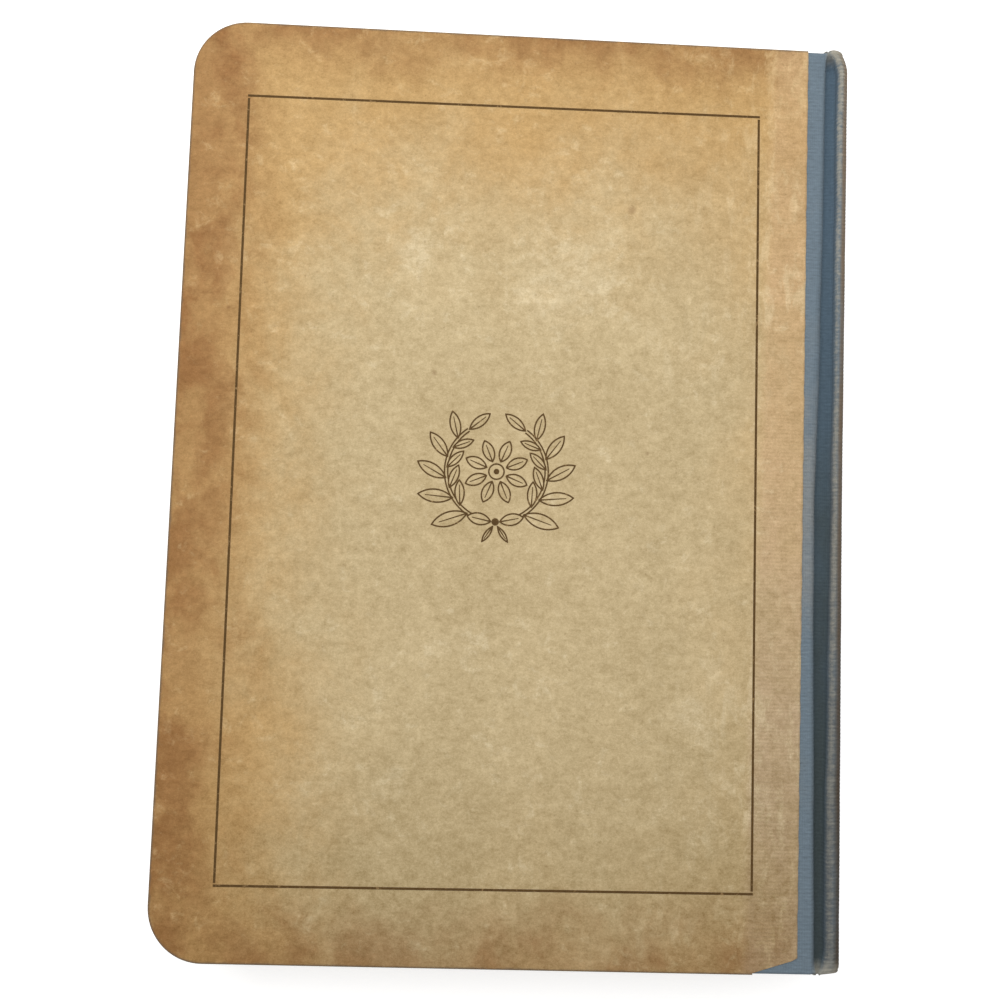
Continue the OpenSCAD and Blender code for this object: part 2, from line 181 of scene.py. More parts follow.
class Wire:
    """An output socket that arithmetic can be written on. Each operation adds a node to its tree."""

    def __init__(self, tree, socket):
        self.tree = tree
        self.socket = socket

    def math(self, operation, *values):
        return add_node(self.tree, "ShaderNodeMath", dict(enumerate((self, *values))), operation=operation)

    def __add__(self, other):
        return self.math("ADD", other)

    def __sub__(self, other):
        return self.math("SUBTRACT", other)

    def __rsub__(self, other):
        return self.math("MULTIPLY_ADD", -1, other)

    def __mul__(self, other):
        return self.math("MULTIPLY", other)

    def __truediv__(self, other):
        return self.math("DIVIDE", other)

    def __pow__(self, other):
        return self.math("POWER", other)

    __radd__ = __add__
    __rmul__ = __mul__

    def step(self, low, high):
        """0 below low, 1 above high, with a smooth step between them."""
        values = {"Value": self, "From Min": low, "From Max": high}
        return add_node(self.tree, "ShaderNodeMapRange", values, interpolation_type="SMOOTHSTEP")

    def wave(self, pitch):
        """A sine from -1 to 1 that repeats at a pitch."""
        return (self * (FULL_TURN / pitch)).math("SINE")

    def parts(self):
        """The three parts of a vector."""
        node = self.tree.nodes.new("ShaderNodeSeparateXYZ")
        connect(self, node.inputs[0])
        return [Wire(self.tree, output) for output in node.outputs]

    def vector_math(self, operation, values, out=0):
        return add_node(self.tree, "ShaderNodeVectorMath", {0: self, **values}, out, operation=operation)

    def scaled(self, factor):
        """A vector times one factor."""
        return self.vector_math("SCALE", {"Scale": factor})

    def stretched(self, factors, shift=(0, 0, 0)):
        """A place scaled on each axis and moved, so that a pattern is long one way or is another one."""
        return self.vector_math("MULTIPLY_ADD", {1: factors, 2: shift})

    def distance(self, x, y):
        """How far a place is from a point on the upper cover, in millimetres."""
        return self.vector_math("DISTANCE", {1: (x, y, thickness)}, 1)

    def noise(self, size, detail, rough, wander=0):
        """Noise from 0 to 1 around 0.5 at a place. Its largest features are about size millimetres."""
        values = {"Vector": self, "Scale": 1 / size, "Detail": detail, "Roughness": rough}
        return add_node(self.tree, "ShaderNodeTexNoise", {**values, "Distortion": wander})

    def spots(self, size):
        """Points scattered in cells of a size in millimetres: how far the nearest is, and its colour."""
        distance = add_node(self.tree, "ShaderNodeTexVoronoi", {"Vector": self, "Scale": 1 / size})
        return distance, Wire(self.tree, distance.socket.node.outputs["Color"])


# %% What every finish uses
def shade(red, green, blue):
    """A screen colour from 0 to 255 as the linear colour that a shader takes."""
    def linear(value):
        value = value / 255
        return value / 12.92 if value <= 0.04045 else ((value + 0.055) / 1.055) ** 2.4

    return (linear(red), linear(green), linear(blue), 1.0)


class Finish:
    """A material that is being made, colour over colour. Its places and bumps are in millimetres."""

    def __init__(self, name, colour):
        self.colour = colour
        self.material = bpy.data.materials.new(name)
        self.material.use_nodes = True
        self.tree = self.material.node_tree
        self.shader = self.tree.nodes["Principled BSDF"]

    def node(self, kind, values=None, out=0, **settings):
        return add_node(self.tree, kind, values, out, **settings)

    def attribute(self, name, out="Vector"):
        return self.node("ShaderNodeAttribute", out=out, attribute_name=name)

    def place(self):
        """The place on the piece in millimetres."""
        return self.node("ShaderNodeTexCoord", out="Object").scaled(1 / MM)

    def mix(self, share, one, other, **settings):
        """One colour at share 0, the other at share 1."""
        return self.node("ShaderNodeMix", {0: share, 6: one, 7: other}, 2, data_type="RGBA", **settings)

    def lay(self, share, colour):
        """Lays a colour over the one that is there. Share says how much of it there is at each place."""
        self.colour = self.mix(share, self.colour, colour)

    def darken(self, factor, warmth=0):
        """Multiplies the colour by a factor at each place.

        Warmth makes the factor stronger in green and blue, so that dark places are browner and light ones
        greyer.
        """
        shares = enumerate((1, 1 + 0.3 * warmth, 1 + warmth))
        tint = self.node("ShaderNodeCombineColor", {k: (factor - 1) * share + 1 for k, share in shares})
        self.colour = self.mix(1, self.colour, tint, blend_type="MULTIPLY")

    def finish(self, roughness, height=None, sheen=0, specular=0.3):
        """Ends the material with its roughness and a height in millimetres for its bumps."""
        values = {"Base Color": self.colour, "Roughness": roughness}
        values.update({"Sheen Weight": sheen, "Specular IOR Level": specular})
        if height is not None:
            bump = {"Strength": 1, "Distance": MM, "Height": height}
            values["Normal"] = self.node("ShaderNodeBump", bump)
        for key, value in values.items():
            connect(value, self.shader.inputs[key])
        return self.material


# %% [markdown]
# ## The covering paper
#
# The paper was once an even tan. Light and air have toned it orange-brown from the head and the fore-edge
# inwards, handling has rubbed pale clouds into its middle, and damp has left small brown spots. It is
# built in that order: the even sheet, toning from three edges, the strip that lies over cloth, rubbed
# places and flecks, fine grain with painted shade towards the tail, spots and stains, and last a dark rim
# of painted shade where the sheet folds round the board and along its cut edge beside the cloth.

# %% Covering paper: its colours and places
PAPER = shade(203, 181, 138)
PAPER_WARM = shade(198, 160, 104)
PAPER_BROWN = shade(154, 108, 62)
PAPER_PALE = shade(224, 206, 168)
PAPER_PALE_WARM = shade(221, 190, 140)
PAPER_STRIP = shade(205, 169, 124)
PAPER_STRIP_TAIL = shade(192, 165, 133)
# Painted shade along the folded edges and the cut edge of the sheet.
PAPER_EDGE_SHADE = shade(112, 98, 80)
PAPER_SPOT = shade(126, 88, 52)
# Each place is an x, a y and a size.
STAINS = [(22.8, 58.8, 1.2), (-16.8, 23.0, 0.9)]
RUBBED = [
    (10.0, 43.0, 19.0), (-22.0, 49.0, 8.0), (-9.0, -31.0, 10.0), (36.0, -45.0, 9.0), (-22.0, -60.0, 8.0),
    (47.0, -83.0, 8.0),
]


# %% Covering paper: painted shade at its edge
def painted_edge_shade(x, y, z, mottle):
    """Painted shade on the arris where the paper folds round the board, on three sides and two corners."""
    past_x = fore_x + CORNER_R - x
    past_y = y.math("ABSOLUTE") - (half_h - CORNER_R)
    corner = (past_x.math("MAXIMUM", 0) ** 2 + past_y.math("MAXIMUM", 0) ** 2).math("SQRT")
    from_border = CORNER_R - (corner + past_x.math("MAXIMUM", past_y).math("MINIMUM", 0))
    rim = 1 - (from_border + mottle * 0.9).step(0.15, 0.75)
    arris = (z - mid_z).math("ABSOLUTE").step(mid_z - 1.1, mid_z - 0.4) * 0.5 + 0.25
    return rim * arris


# %% Covering paper: the finish
def paper_finish():
    f = Finish("toned_tan_paper", PAPER)
    at = f.place()
    x, y, z = at.parts()
    clouds = at.noise(46, 4, 0.6, 0.5) - 0.5
    patches = at.stretched((1, 0.8, 1), (40, 7, 0)).noise(13, 5, 0.62, 0.6) - 0.5
    mottle = at.stretched((1, 1, 1), (3, 5, 0)).noise(5, 5, 0.75, 0.3) - 0.5
    grain = at.noise(0.9, 3, 0.9) - 0.5
    from_fore = x - fore_x
    from_head = half_h - y
    from_tail = y + half_h
    wander = patches * 24 + mottle * 12
    to_tail = from_head.step(60, 150)
    inner = (from_fore + wander).step(-2, 52) * (from_head + wander * 1.3).step(-8, 66)
    inner = inner * ((from_tail + wander).step(-10, 36) * 0.38 + 0.62)
    inner = inner * (1 - (x + wander * 0.8).step(24, 62) * (0.5 - to_tail * 0.32))
    warmth = (1 - inner + clouds * 0.8).step(0, 1)
    f.lay(warmth, PAPER_WARM)

    fore_tone = 1 - (from_fore + wander * 0.7).step(1, 23)
    head_tone = 1 - (from_head + wander * 0.6).step(-3, 14)
    tail_tone = 1 - (from_tail + wander * 0.6).step(-3, 18)
    toned = fore_tone.math("MAXIMUM", head_tone * 0.8).math("MAXIMUM", tail_tone * 0.85)
    tide = at.stretched((1, 0.75, 1), (8, 61, 0)).noise(9.5, 4, 0.55, 0.4)
    toned = toned * (0.7 - from_head.step(20, 100) * 0.22 + tide.step(0.4, 0.6) * 0.48)
    f.lay(toned * 0.92, PAPER_BROWN)

    lap_x = (y / half_h + 1) * ((lap_head_x - lap_tail_x) / 2) + lap_tail_x
    over_cloth = (x - lap_x + mottle * 3).step(-1.5, 1.5)
    ridge = (x - lap_x).step(-1.6, -0.2) - (x - lap_x).step(0, 1.4)
    strip = f.mix(to_tail, PAPER_STRIP, PAPER_STRIP_TAIL)
    f.lay(over_cloth * (0.6 + patches * 1.2), strip)

    rubbed = clouds * 0.6 + mottle * 0.5 + patches * 0.8
    for centre_x, centre_y, size in RUBBED:
        rubbed = rubbed + (1 - at.distance(centre_x, centre_y).step(0, size)) * 0.42
    pale = f.mix(warmth, PAPER_PALE, PAPER_PALE_WARM)
    f.lay(rubbed.step(0.1, 0.75) * 0.42, pale)
    flecks = at.stretched((0.95, 1, 1), (17, 29, 0)).noise(3.4, 6, 0.7, 0.4) + rubbed * 0.24
    streaks = at.stretched((1, 0.36, 1), (9, 23, 0)).noise(3.2, 6, 0.72, 0.4)
    handled = (x + patches * 40).step(14, 58) * (y + patches * 70).math("ABSOLUTE").step(8, 40)
    streak = (streaks + ridge * 0.06 + patches * 0.25).step(0.49, 0.66) * handled
    fleck = (flecks.step(0.55, 0.72) * (1 - toned * 0.45)).math("MAXIMUM", streak * 1.15)
    f.lay(fleck * 0.52, pale)

    even = at.stretched((0.85, 1.1, 1)).noise(2.2, 6, 0.97) - 0.5
    # Besides its mottle, broad makes the sheet darker towards the tail and in the handled place near the
    # tail: painted shade.
    broad = clouds * 0.24 + patches * 0.2 + from_tail.step(0, 60) * 0.17 - handled * to_tail * 0.09
    f.darken(even * 1.3 + grain * 0.45 + broad + 0.84, 0.43)
    specks, speck_kind = at.spots(1.15)
    speck = (1 - specks.step(0.05, 0.24)) * speck_kind.parts()[0].step(0.7, 0.8)
    f.lay(speck * 0.25, PAPER_SPOT)
    spots, spot_kind = at.stretched((1, 1, 1), (3, 9, 0)).spots(9)
    spot = (1 - (spots + mottle * 0.12).step(0.01, 0.07)) * spot_kind.parts()[1].step(0.72, 0.8)
    f.lay(spot * 0.4, PAPER_SPOT)
    for centre_x, centre_y, size in STAINS:
        stain = 1 - (at.distance(centre_x, centre_y) + mottle * 2).step(0.1 * size, size)
        f.lay(stain * 0.4, PAPER_SPOT)

    # Painted shade on the folded edges, and a painted shadow along the cut edge beside the cloth.
    f.lay(painted_edge_shade(x, y, z, mottle), PAPER_EDGE_SHADE)
    cut = (x + mottle * 0.6).step(paper_edge_x - 0.45, paper_edge_x)
    f.lay(cut * 0.3, PAPER_EDGE_SHADE)
    rib = y.wave(RIB_PITCH)
    rub = (mottle + grain * 0.6 + 0.5).step(0.35, 0.75) * (0.5 + from_head.step(60, 130) * 0.5)
    # Painted light and shade of the ribs beneath, stronger where the paper is rubbed, and a painted
    # highlight along the crease over the cloth's edge.
    f.darken(1 - over_cloth * rib * rub * 0.06 + ridge * 0.03)
    height = grain * 0.05 + mottle * 0.05 + over_cloth * rib * 0.01 + ridge * 0.03
    return f.finish(0.7 + grain * 0.2 + fleck * 0.08, height, specular=0.2)


# %% [markdown]
# ## The ribbed cloth
#
# The cloth is grey-blue where it lies sheltered. The groove is darker, partly with dirt and partly with
# painted shade. The outside of the spine is brown, and both darken towards the tail. On the ridge the
# colour has gone from the tops of the threads, most of all near the head, and both turned ends are worn
# pale. The marks that the sheet carries say which place is which, and the height of each rib helps to
# decide where wear settles and where painted shade darkens the hollows between the ribs.

# %% Ribbed cloth
CLOTH = shade(119, 134, 145)
CLOTH_FADED = shade(150, 150, 146)
# The groove's colours hold both dirt and painted shade.
CLOTH_GROOVE = shade(88, 107, 122)
CLOTH_GRIME_AND_SHADE = shade(69, 78, 79)
CLOTH_BROWN = shade(136, 118, 98)
CLOTH_BROWN_TAIL = shade(80, 68, 56)
CLOTH_WORN = shade(176, 170, 154)
CLOTH_SPINE = shade(124, 119, 109)
CLOTH_SPINE_TAIL = shade(94, 93, 88)


def cloth_finish():
    f = Finish("ribbed_book_cloth", CLOTH)
    at = f.attribute("flat_place")
    across, along = at.parts()[:2]
    ridge, groove, outside = f.attribute("zone").parts()
    rib = f.attribute("rib", "Fac")
    from_head = half_h - along
    from_tail = half_h + along
    towards_tail = (along * -1).step(-80, 80)
    clouds = at.stretched((1, 0.5, 0)).noise(11, 4, 0.65) - 0.5
    threads = at.stretched((0.3, 1.2, 0)).noise(0.45, 3, 0.75) - 0.5
    tufts = at.stretched((0.8, 1, 0), (5, 2, 0)).noise(0.95, 4, 0.8) - 0.5
    weave = (across * (FULL_TURN / WARP_PITCH) + threads * 5).math("SINE")

    middle = 1 - (along + 2).math("ABSOLUTE").step(8, 40)
    faded = (middle * 0.6 + clouds * 1.5 + tufts * 0.6).step(0, 0.9)
    f.lay(faded * 0.8, CLOTH_FADED)
    # Dirt and painted shade: the groove is darker, and more so towards the tail.
    f.lay(groove + tufts * 0.3, CLOTH_GROOVE)
    sheltered = groove + outside * 0.4 + 0.2
    grime_and_shade = (sheltered * (0.12 + towards_tail * 0.75) + clouds * 0.8 + tufts * 0.3).step(0.05, 1.1)
    f.lay(grime_and_shade, CLOTH_GRIME_AND_SHADE)
    spine = f.mix(towards_tail, CLOTH_SPINE, CLOTH_SPINE_TAIL)
    f.lay((outside * 1.4 - 0.3 + clouds).step(0, 1) * 0.75, spine)
    brown = (outside.step(0.3, 0.8) - outside.step(0.96, 1) * 0.6) * (0.8 + clouds * 1.2 + tufts * 0.6)
    f.lay(brown, f.mix(towards_tail, CLOTH_BROWN, CLOTH_BROWN_TAIL))
    f.lay(ridge * towards_tail * 0.7, spine)

    head_wear = 1 - from_head.step(4, 34)
    tail_wear = 1 - from_tail.step(2, 22)
    worn = ridge + head_wear * outside * 0.6 + tail_wear * outside * 0.3
    worn = (worn + tufts * 2.2 + clouds * 0.5 + rib * 0.1).step(0.5, 1.2)
    f.lay(worn * (0.72 + head_wear * 0.15 - towards_tail * 0.38), CLOTH_WORN)
    ends = (1 - (from_head + tufts * 3).step(0.3, 3.4)) + (1 - (from_tail + tufts * 3).step(0.3, 3)) * 0.8
    off_board = (ridge + groove * 1.5 + outside).step(0.2, 0.7)
    f.lay(ends * off_board * (0.66 + tufts * 1.4), CLOTH_WORN)
    # Painted shade: ribs darkens the hollows between the ribs.
    ribs = rib * (0.1 + tufts * 0.35 + outside * 0.12)
    f.darken(clouds * 0.2 + threads * 0.7 + tufts * 0.55 + ribs + weave * 0.03 + 1)
    height = threads * 0.05 + weave * 0.01 + tufts * (0.03 + worn * 0.08)
    return f.finish(0.9, height, sheen=0.05, specular=0.1)


# %% [markdown]
# ## The pieces inside
#
# Page edges, endpapers, board, gauze, thread and print need less, yet none of them is one flat colour.
# Each gets the grain of its own material.

# %% Pages, endpapers and board
EDGES = shade(214, 196, 156)
EDGES_TONED = shade(176, 148, 104)
EDGES_SPECK = shade(128, 98, 62)
ENDPAPER = shade(214, 200, 168)
ENDPAPER_TONED = shade(190, 162, 116)
BOARD = shade(134, 122, 100)
BOARD_PALE = shade(170, 158, 132)
BOARD_FLECK = shade(96, 88, 74)
LINING = shade(160, 136, 98)
LINING_PALE = shade(196, 174, 134)


def pages_finish():
    f = Finish("toned_page_edges", EDGES)
    at = f.place()
    clouds = at.noise(24, 3, 0.6)
    streaks = at.stretched((0.25, 0.25, 6)).noise(1.6, 3, 0.6)
    specks = at.noise(0.8, 2, 0.6)
    f.lay((clouds * 0.6 + streaks * 0.7).step(0.4, 0.95), EDGES_TONED)
    f.lay(specks.step(0.66, 0.8) * 0.4, EDGES_SPECK)
    f.darken(0.9 + streaks * 0.2)
    return f.finish(0.85, streaks * 0.03, specular=0.15)


def endpaper_finish():
    f = Finish("plain_endpaper", ENDPAPER)
    at = f.place()
    x, y = at.parts()[:2]
    clouds = at.noise(40, 4, 0.6)
    fibres = at.stretched((1, 0.4, 1)).noise(1.1, 4, 0.65)
    from_side = x - fore_x + (clouds - 0.5) * 16
    from_end = half_h - y.math("ABSOLUTE") + (clouds - 0.5) * 12
    inset = from_side.step(2, 20) * from_end.step(2, 18)
    f.lay(1 - inset, ENDPAPER_TONED)
    spots, kind = at.spots(6)
    rare = kind.parts()[0].step(0.8, 0.86)
    f.lay((1 - spots.step(0.02, 0.12)) * rare * 0.4, PAPER_SPOT)
    f.darken(0.9 + fibres * 0.14 + clouds * 0.06)
    return f.finish(0.8, fibres * 0.02, specular=0.2)


def board_finish():
    f = Finish("grey_brown_board", BOARD)
    at = f.place()
    fibres = at.stretched((1, 1, 3)).noise(1.4, 5, 0.7)
    flecks = at.noise(0.7, 2, 0.5).step(0.6, 0.7)
    f.lay(fibres, BOARD_PALE)
    f.lay(flecks * 0.4, BOARD_FLECK)
    return f.finish(0.9, fibres * 0.05, specular=0.1)


def lining_finish():
    f = Finish("plain_lining_paper", LINING)
    fibres = f.place().stretched((1, 0.5, 1)).noise(1.8, 4, 0.65)
    f.lay(fibres, LINING_PALE)
    return f.finish(0.85, fibres * 0.03, specular=0.15)


# %% Gauze, thread and print
GAUZE = shade(150, 136, 108)
GAUZE_PALE = shade(222, 212, 186)
GAUZE_PITCH = 1.1
THREAD = shade(190, 178, 150)
THREAD_PALE = shade(232, 224, 202)
THREAD_PITCH = 0.5
INK = shade(76, 56, 32)
INK_PALE = shade(112, 86, 52)
INK_WORN = shade(164, 134, 92)


def woven_finish(name, colour, pale, pitch):
    """A plain weave of pale threads at a pitch."""
    f = Finish(name, colour)
    at = f.place()
    x, y, z = at.parts()
    threads = y.wave(pitch).math("MAXIMUM", (x + z).wave(pitch)).step(-0.2, 0.8)
    fuzz = at.noise(0.4, 3, 0.6)
    f.lay(threads * (0.6 + fuzz * 0.5), pale)
    return f.finish(0.9, threads * 0.06 + fuzz * 0.02, specular=0.1)


def ink_finish():
    """Print that is worn through here and there, so that the paper shows."""
    f = Finish("worn_brown_print", INK)
    at = f.place()
    blotches = at.noise(0.5, 3, 0.65)
    breaks = at.stretched((1, 1, 0), (4, 1, 0)).noise(2.6, 3, 0.7)
    worn = (breaks * 0.7 + blotches * 0.5).step(0.66, 0.78)
    f.lay(blotches, INK_PALE)
    f.lay(worn * 0.75, INK_WORN)
    return f.finish(0.8, blotches * 0.01, specular=0.08)


# %% All the finishes
finishes = {
    "cloth": cloth_finish(),
    "cover_paper": paper_finish(),
    "pages": pages_finish(),
    "endpaper": endpaper_finish(),
    "board": board_finish(),
    "lining": lining_finish(),
    "mull": woven_finish("open_gauze", GAUZE, GAUZE_PALE, GAUZE_PITCH),
    "thread": woven_finish("linen_thread", THREAD, THREAD_PALE, THREAD_PITCH),
    "ink": ink_finish(),
}
print("finishes:", sorted(finishes))


# %% [markdown]
# ## Sheets as grids of points
#
# Cloth, mull, paper and card are thin sheets. Each is worked out as rows and columns of points with
# arrays and then joined into faces, which is quick and exact. Values that a material needs later, such as
# which part of the section a place belongs to, are kept on the points as attributes, so that they stay
# with the sheet when its points move.


# %% Grids
def join_grid(rows, columns, turned=False):
    """The corners of the faces between rows and columns of points. turned makes them face the other way."""
    index = np.arange(rows * columns).reshape(rows, columns)
    around = [index[:-1, :-1], index[:-1, 1:], index[1:, 1:], index[1:, :-1]]
    faces = np.stack(around, axis=-1).reshape(-1, 4)
    return faces[:, ::-1] if turned else faces


def with_y(section, y):
    """Points of a section, an x and a height each, with a y put between the two."""
    return np.stack([section[..., 0], np.broadcast_to(y, section.shape[:-1]), section[..., 1]], axis=-1)


def to_side(points, side):
    """Turns heights over the middle into places on the upper (1) or the lower (-1) side of the book."""
    placed = points.copy()
    placed[..., 2] = mid_z + side * points[..., 2]
    return placed


def lengths(points):
    """How far along a line each of its points lies."""
    return np.concatenate([[0], np.cumsum(np.linalg.norm(np.diff(points, axis=0), axis=-1))])


# %% Meshes and pieces
SHARP_ANGLE = 50


def new_mesh(name, points, faces, **marks):
    """A mesh of points in millimetres. Each mark is an attribute with one or three values a point."""
    mesh = bpy.data.meshes.new(name)
    mesh.from_pydata((points.reshape(-1, 3) * MM).tolist(), [], faces.tolist())
    for mark, values in marks.items():
        kind, field = ("FLOAT_VECTOR", "vector") if values.shape[-1] == 3 else ("FLOAT", "value")
        attribute = mesh.attributes.new(mark, kind, "POINT")
        attribute.data.foreach_set(field, values.astype(np.float32).ravel())
    mesh.shade_smooth()
    return mesh


def new_piece(name, mesh, finish):
    piece = bpy.data.objects.new(name, mesh)
    bpy.context.scene.collection.objects.link(piece)
    mesh.materials.append(finish)
    return piece


def settle(piece):
    """Keeps what a piece's modifiers make as its plain mesh, and removes them."""
    depsgraph = bpy.context.evaluated_depsgraph_get()
    made = bpy.data.meshes.new_from_object(
        piece.evaluated_get(depsgraph), preserve_all_data_layers=True, depsgraph=depsgraph
    )
    piece.modifiers.clear()
    piece.data = made


def give_thickness(piece, amount):
    """Gives a sheet its thickness, on the side away from its normals. Its cut edges stay sharp."""
    wall = piece.modifiers.new("thickness", "SOLIDIFY")
    wall.thickness = amount * MM
    wall.offset = -1
    settle(piece)
    piece.data.set_sharp_from_angle(angle=math.radians(SHARP_ANGLE))


def thin_piece(name, points, side, turned, amount, finish):
    """A piece from a grid of points on one side of the book, with its thickness."""
    mesh = new_mesh(name, to_side(points, side), join_grid(*points.shape[:2], turned))
    piece = new_piece(name, mesh, finish)
    give_thickness(piece, amount)
    return piece


def triangles(piece):
    piece.data.calc_loop_triangles()
    return len(piece.data.loop_triangles)


# %% [markdown]
# ## The section of the spine
#
# Seen from its end, the cloth runs round the spine, over a ridge, down into the groove and up over the
# board's edge. Each stretch is an arc, a part of an ellipse or a straight line, so the section is a few
# calls of small functions. Its sizes change along the book. Where the book has been handled, at the head
# and the tail, the corners of the spine are pushed in and the cloth closes the groove. Every row of
# points therefore gets its own section, and one array holds them all.

# %% Section: driving sizes in millimetres
CLOTH_T = 0.28
RIDGE_R = 1.05
SPINE_ROUND = 0.9
GROOVE_FILLET = 0.6
FOOT_FILLET = 0.9
HEAD_PUSH = 1.8
TAIL_PUSH = 0.7
SPINE_BOW = 0.35
HEAD_RISE = 0.15
TAIL_RISE = 0.1
RIDGE_CLEAR = 0.08
RIDGE_LEAN = 0.2
CLOSED_PAST_EDGE = 0.25
FILLED_BELOW_BOARD = 0.2
FILLET_ROOM_SHARE = 0.45
FILLET_DROP_SHARE = 0.4
FOOT_RISE_SHARE = 0.25
groove_h = fly_half + mull_t + CLOTH_T
spine_r = (crest_h**2 + SPINE_ROUND**2) / (2 * SPINE_ROUND)
crest_angle = math.degrees(math.asin((crest_h - RIDGE_R) / (spine_r - RIDGE_R)))
ridge_x = spine_x - spine_r + (spine_r - RIDGE_R) * math.cos(math.radians(crest_angle))
print(f"spine's radius {spine_r:.1f} mm, ridge at x {ridge_x:.2f}, groove's floor {groove_h:.2f} high")

# %% Section: sizes at some heights along the book
EDGE_Y = np.array([-95.0, -60.0, -20.0, 0.0, 12.0, 24.0, 58.0, 85.0, 95.0])
EDGE_SHIFT = np.array([1.0, 0.6, 0.1, 0.05, 0.35, 0.75, 1.15, 1.3, 1.35])
EDGE_BEND = np.array([1.2, 1.2, 1.3, 1.3, 1.7, 2.1, 1.6, 1.1, 1.0])
RIDGE_SHIFT = np.array([0.35, 0.5, 0.2, 0.0, 0.0, 0.0, 0.0, 0.0, 0.0])

# %% Section: changes at the ends and waves
# A change at an end has a start, which is measured in from the end, and a reach.
HEAD_PUSHED = (0.0, 4.6)
TAIL_PUSHED = (0.0, 1.4)
HEAD_CLOSED = (0.9, 4.6)
TAIL_CLOSED = (0.5, 5.0)
HEAD_FILLED = (0.9, 3.0)
TAIL_FILLED = (0.6, 2.4)
HEAD_RAISED = (0.0, 4.0)
TAIL_RAISED = (0.0, 3.0)
# A wave has a seed, a size and the length of its longest part.
FLOOR_WAVE = (5, 0.06, 37.0)
RIDGE_WAVE = (6, 0.09, 37.0)
EDGE_WAVE = (7, 0.05, 37.0)
CREST_WAVE = (8, 0.05, 23.0)
PAPER_EDGE_WAVE = (11, 0.07, 9.0)

# %% Section: columns of points in each stretch
COLUMNS = {"spine": 7, "outer": 5, "wall": 8, "fillet": 4, "floor": 7, "foot": 3, "edge": 6, "top": 6}
ON_BOARD = COLUMNS["edge"] + COLUMNS["top"]


# %% Section: how it changes along the book
def near(distance, start, reach):
    """1 up to a start, falling smoothly to 0 over a reach."""
    return np.clip(1 - (distance - start) / reach, 0, 1) ** 2


def arch(distance, start, reach):
    """1 up to a start, falling to 0 over a reach like the side of a round arch."""
    return 1 - np.sqrt(1 - near(distance, start, reach))


def waver(y, seed, size, longest):
    """A slow irregular wave along the book, made of a few sines."""
    rng = np.random.default_rng(seed)
    wave = 0
    for k in range(4):
        wave = wave + np.sin(FULL_TURN * (y * 1.7**k / longest + rng.random())) / 1.5**k
    return size * wave / 2


def section_sizes(y):
    """The section's sizes at height y, one value for each row. At both ends the ridge closes the groove."""
    head = half_h - y
    tail = half_h + y
    share = y / half_h
    sizes = {}
    push = HEAD_PUSH * near(head, *HEAD_PUSHED) + TAIL_PUSH * near(tail, *TAIL_PUSHED)
    sizes["push"] = push - SPINE_BOW * np.abs(share)
    closed = arch(head, *HEAD_CLOSED) + arch(tail, *TAIL_CLOSED)
    filled = np.minimum(near(head, *HEAD_FILLED) + near(tail, *TAIL_FILLED), 1)
    filled_h = board_out - FILLED_BELOW_BOARD
    sizes["floor"] = groove_h + (filled_h - groove_h) * filled + waver(y, *FLOOR_WAVE)
    sizes["edge"] = np.interp(y, EDGE_Y, cloth_edge_x + EDGE_SHIFT) + waver(y, *EDGE_WAVE)
    sizes["bend"] = np.interp(y, EDGE_Y, EDGE_BEND)
    open_x = ridge_x - RIDGE_R - RIDGE_CLEAR + RIDGE_LEAN * share
    open_x = open_x - np.interp(y, EDGE_Y, RIDGE_SHIFT) + waver(y, *RIDGE_WAVE)
    sizes["ridge_in"] = open_x + (sizes["edge"] + CLOSED_PAST_EDGE - open_x) * closed
    rise = HEAD_RISE * near(head, *HEAD_RAISED) + TAIL_RISE * near(tail, *TAIL_RAISED)
    sizes["crest"] = crest_h + rise + waver(y, *CREST_WAVE)
    sizes["lap"] = lap_tail_x + (lap_head_x - lap_tail_x) * (share + 1) / 2
    return {key: value[:, None] for key, value in sizes.items()}


# %% Section: the points of every row
def ellipse(centre_x, centre_h, reach_x, reach_h, start, stop, count):
    """Points on an ellipse for every row, from one angle to another in degrees."""
    angle = np.radians(np.linspace(start, stop, count))
    x = centre_x + reach_x * np.cos(angle)
    return np.stack([x, centre_h + reach_h * np.sin(angle)], axis=-1)


def arc(centre_x, centre_h, radius, start, stop, count):
    """The same on a circle."""
    return ellipse(centre_x, centre_h, radius, radius, start, stop, count)


def steps_between(a, b, count):
    """Points from a to b for every row, without the first."""
    share = np.linspace(0, 1, count + 1)[1:, None]
    return a[:, None, :] + (b - a)[:, None, :] * share


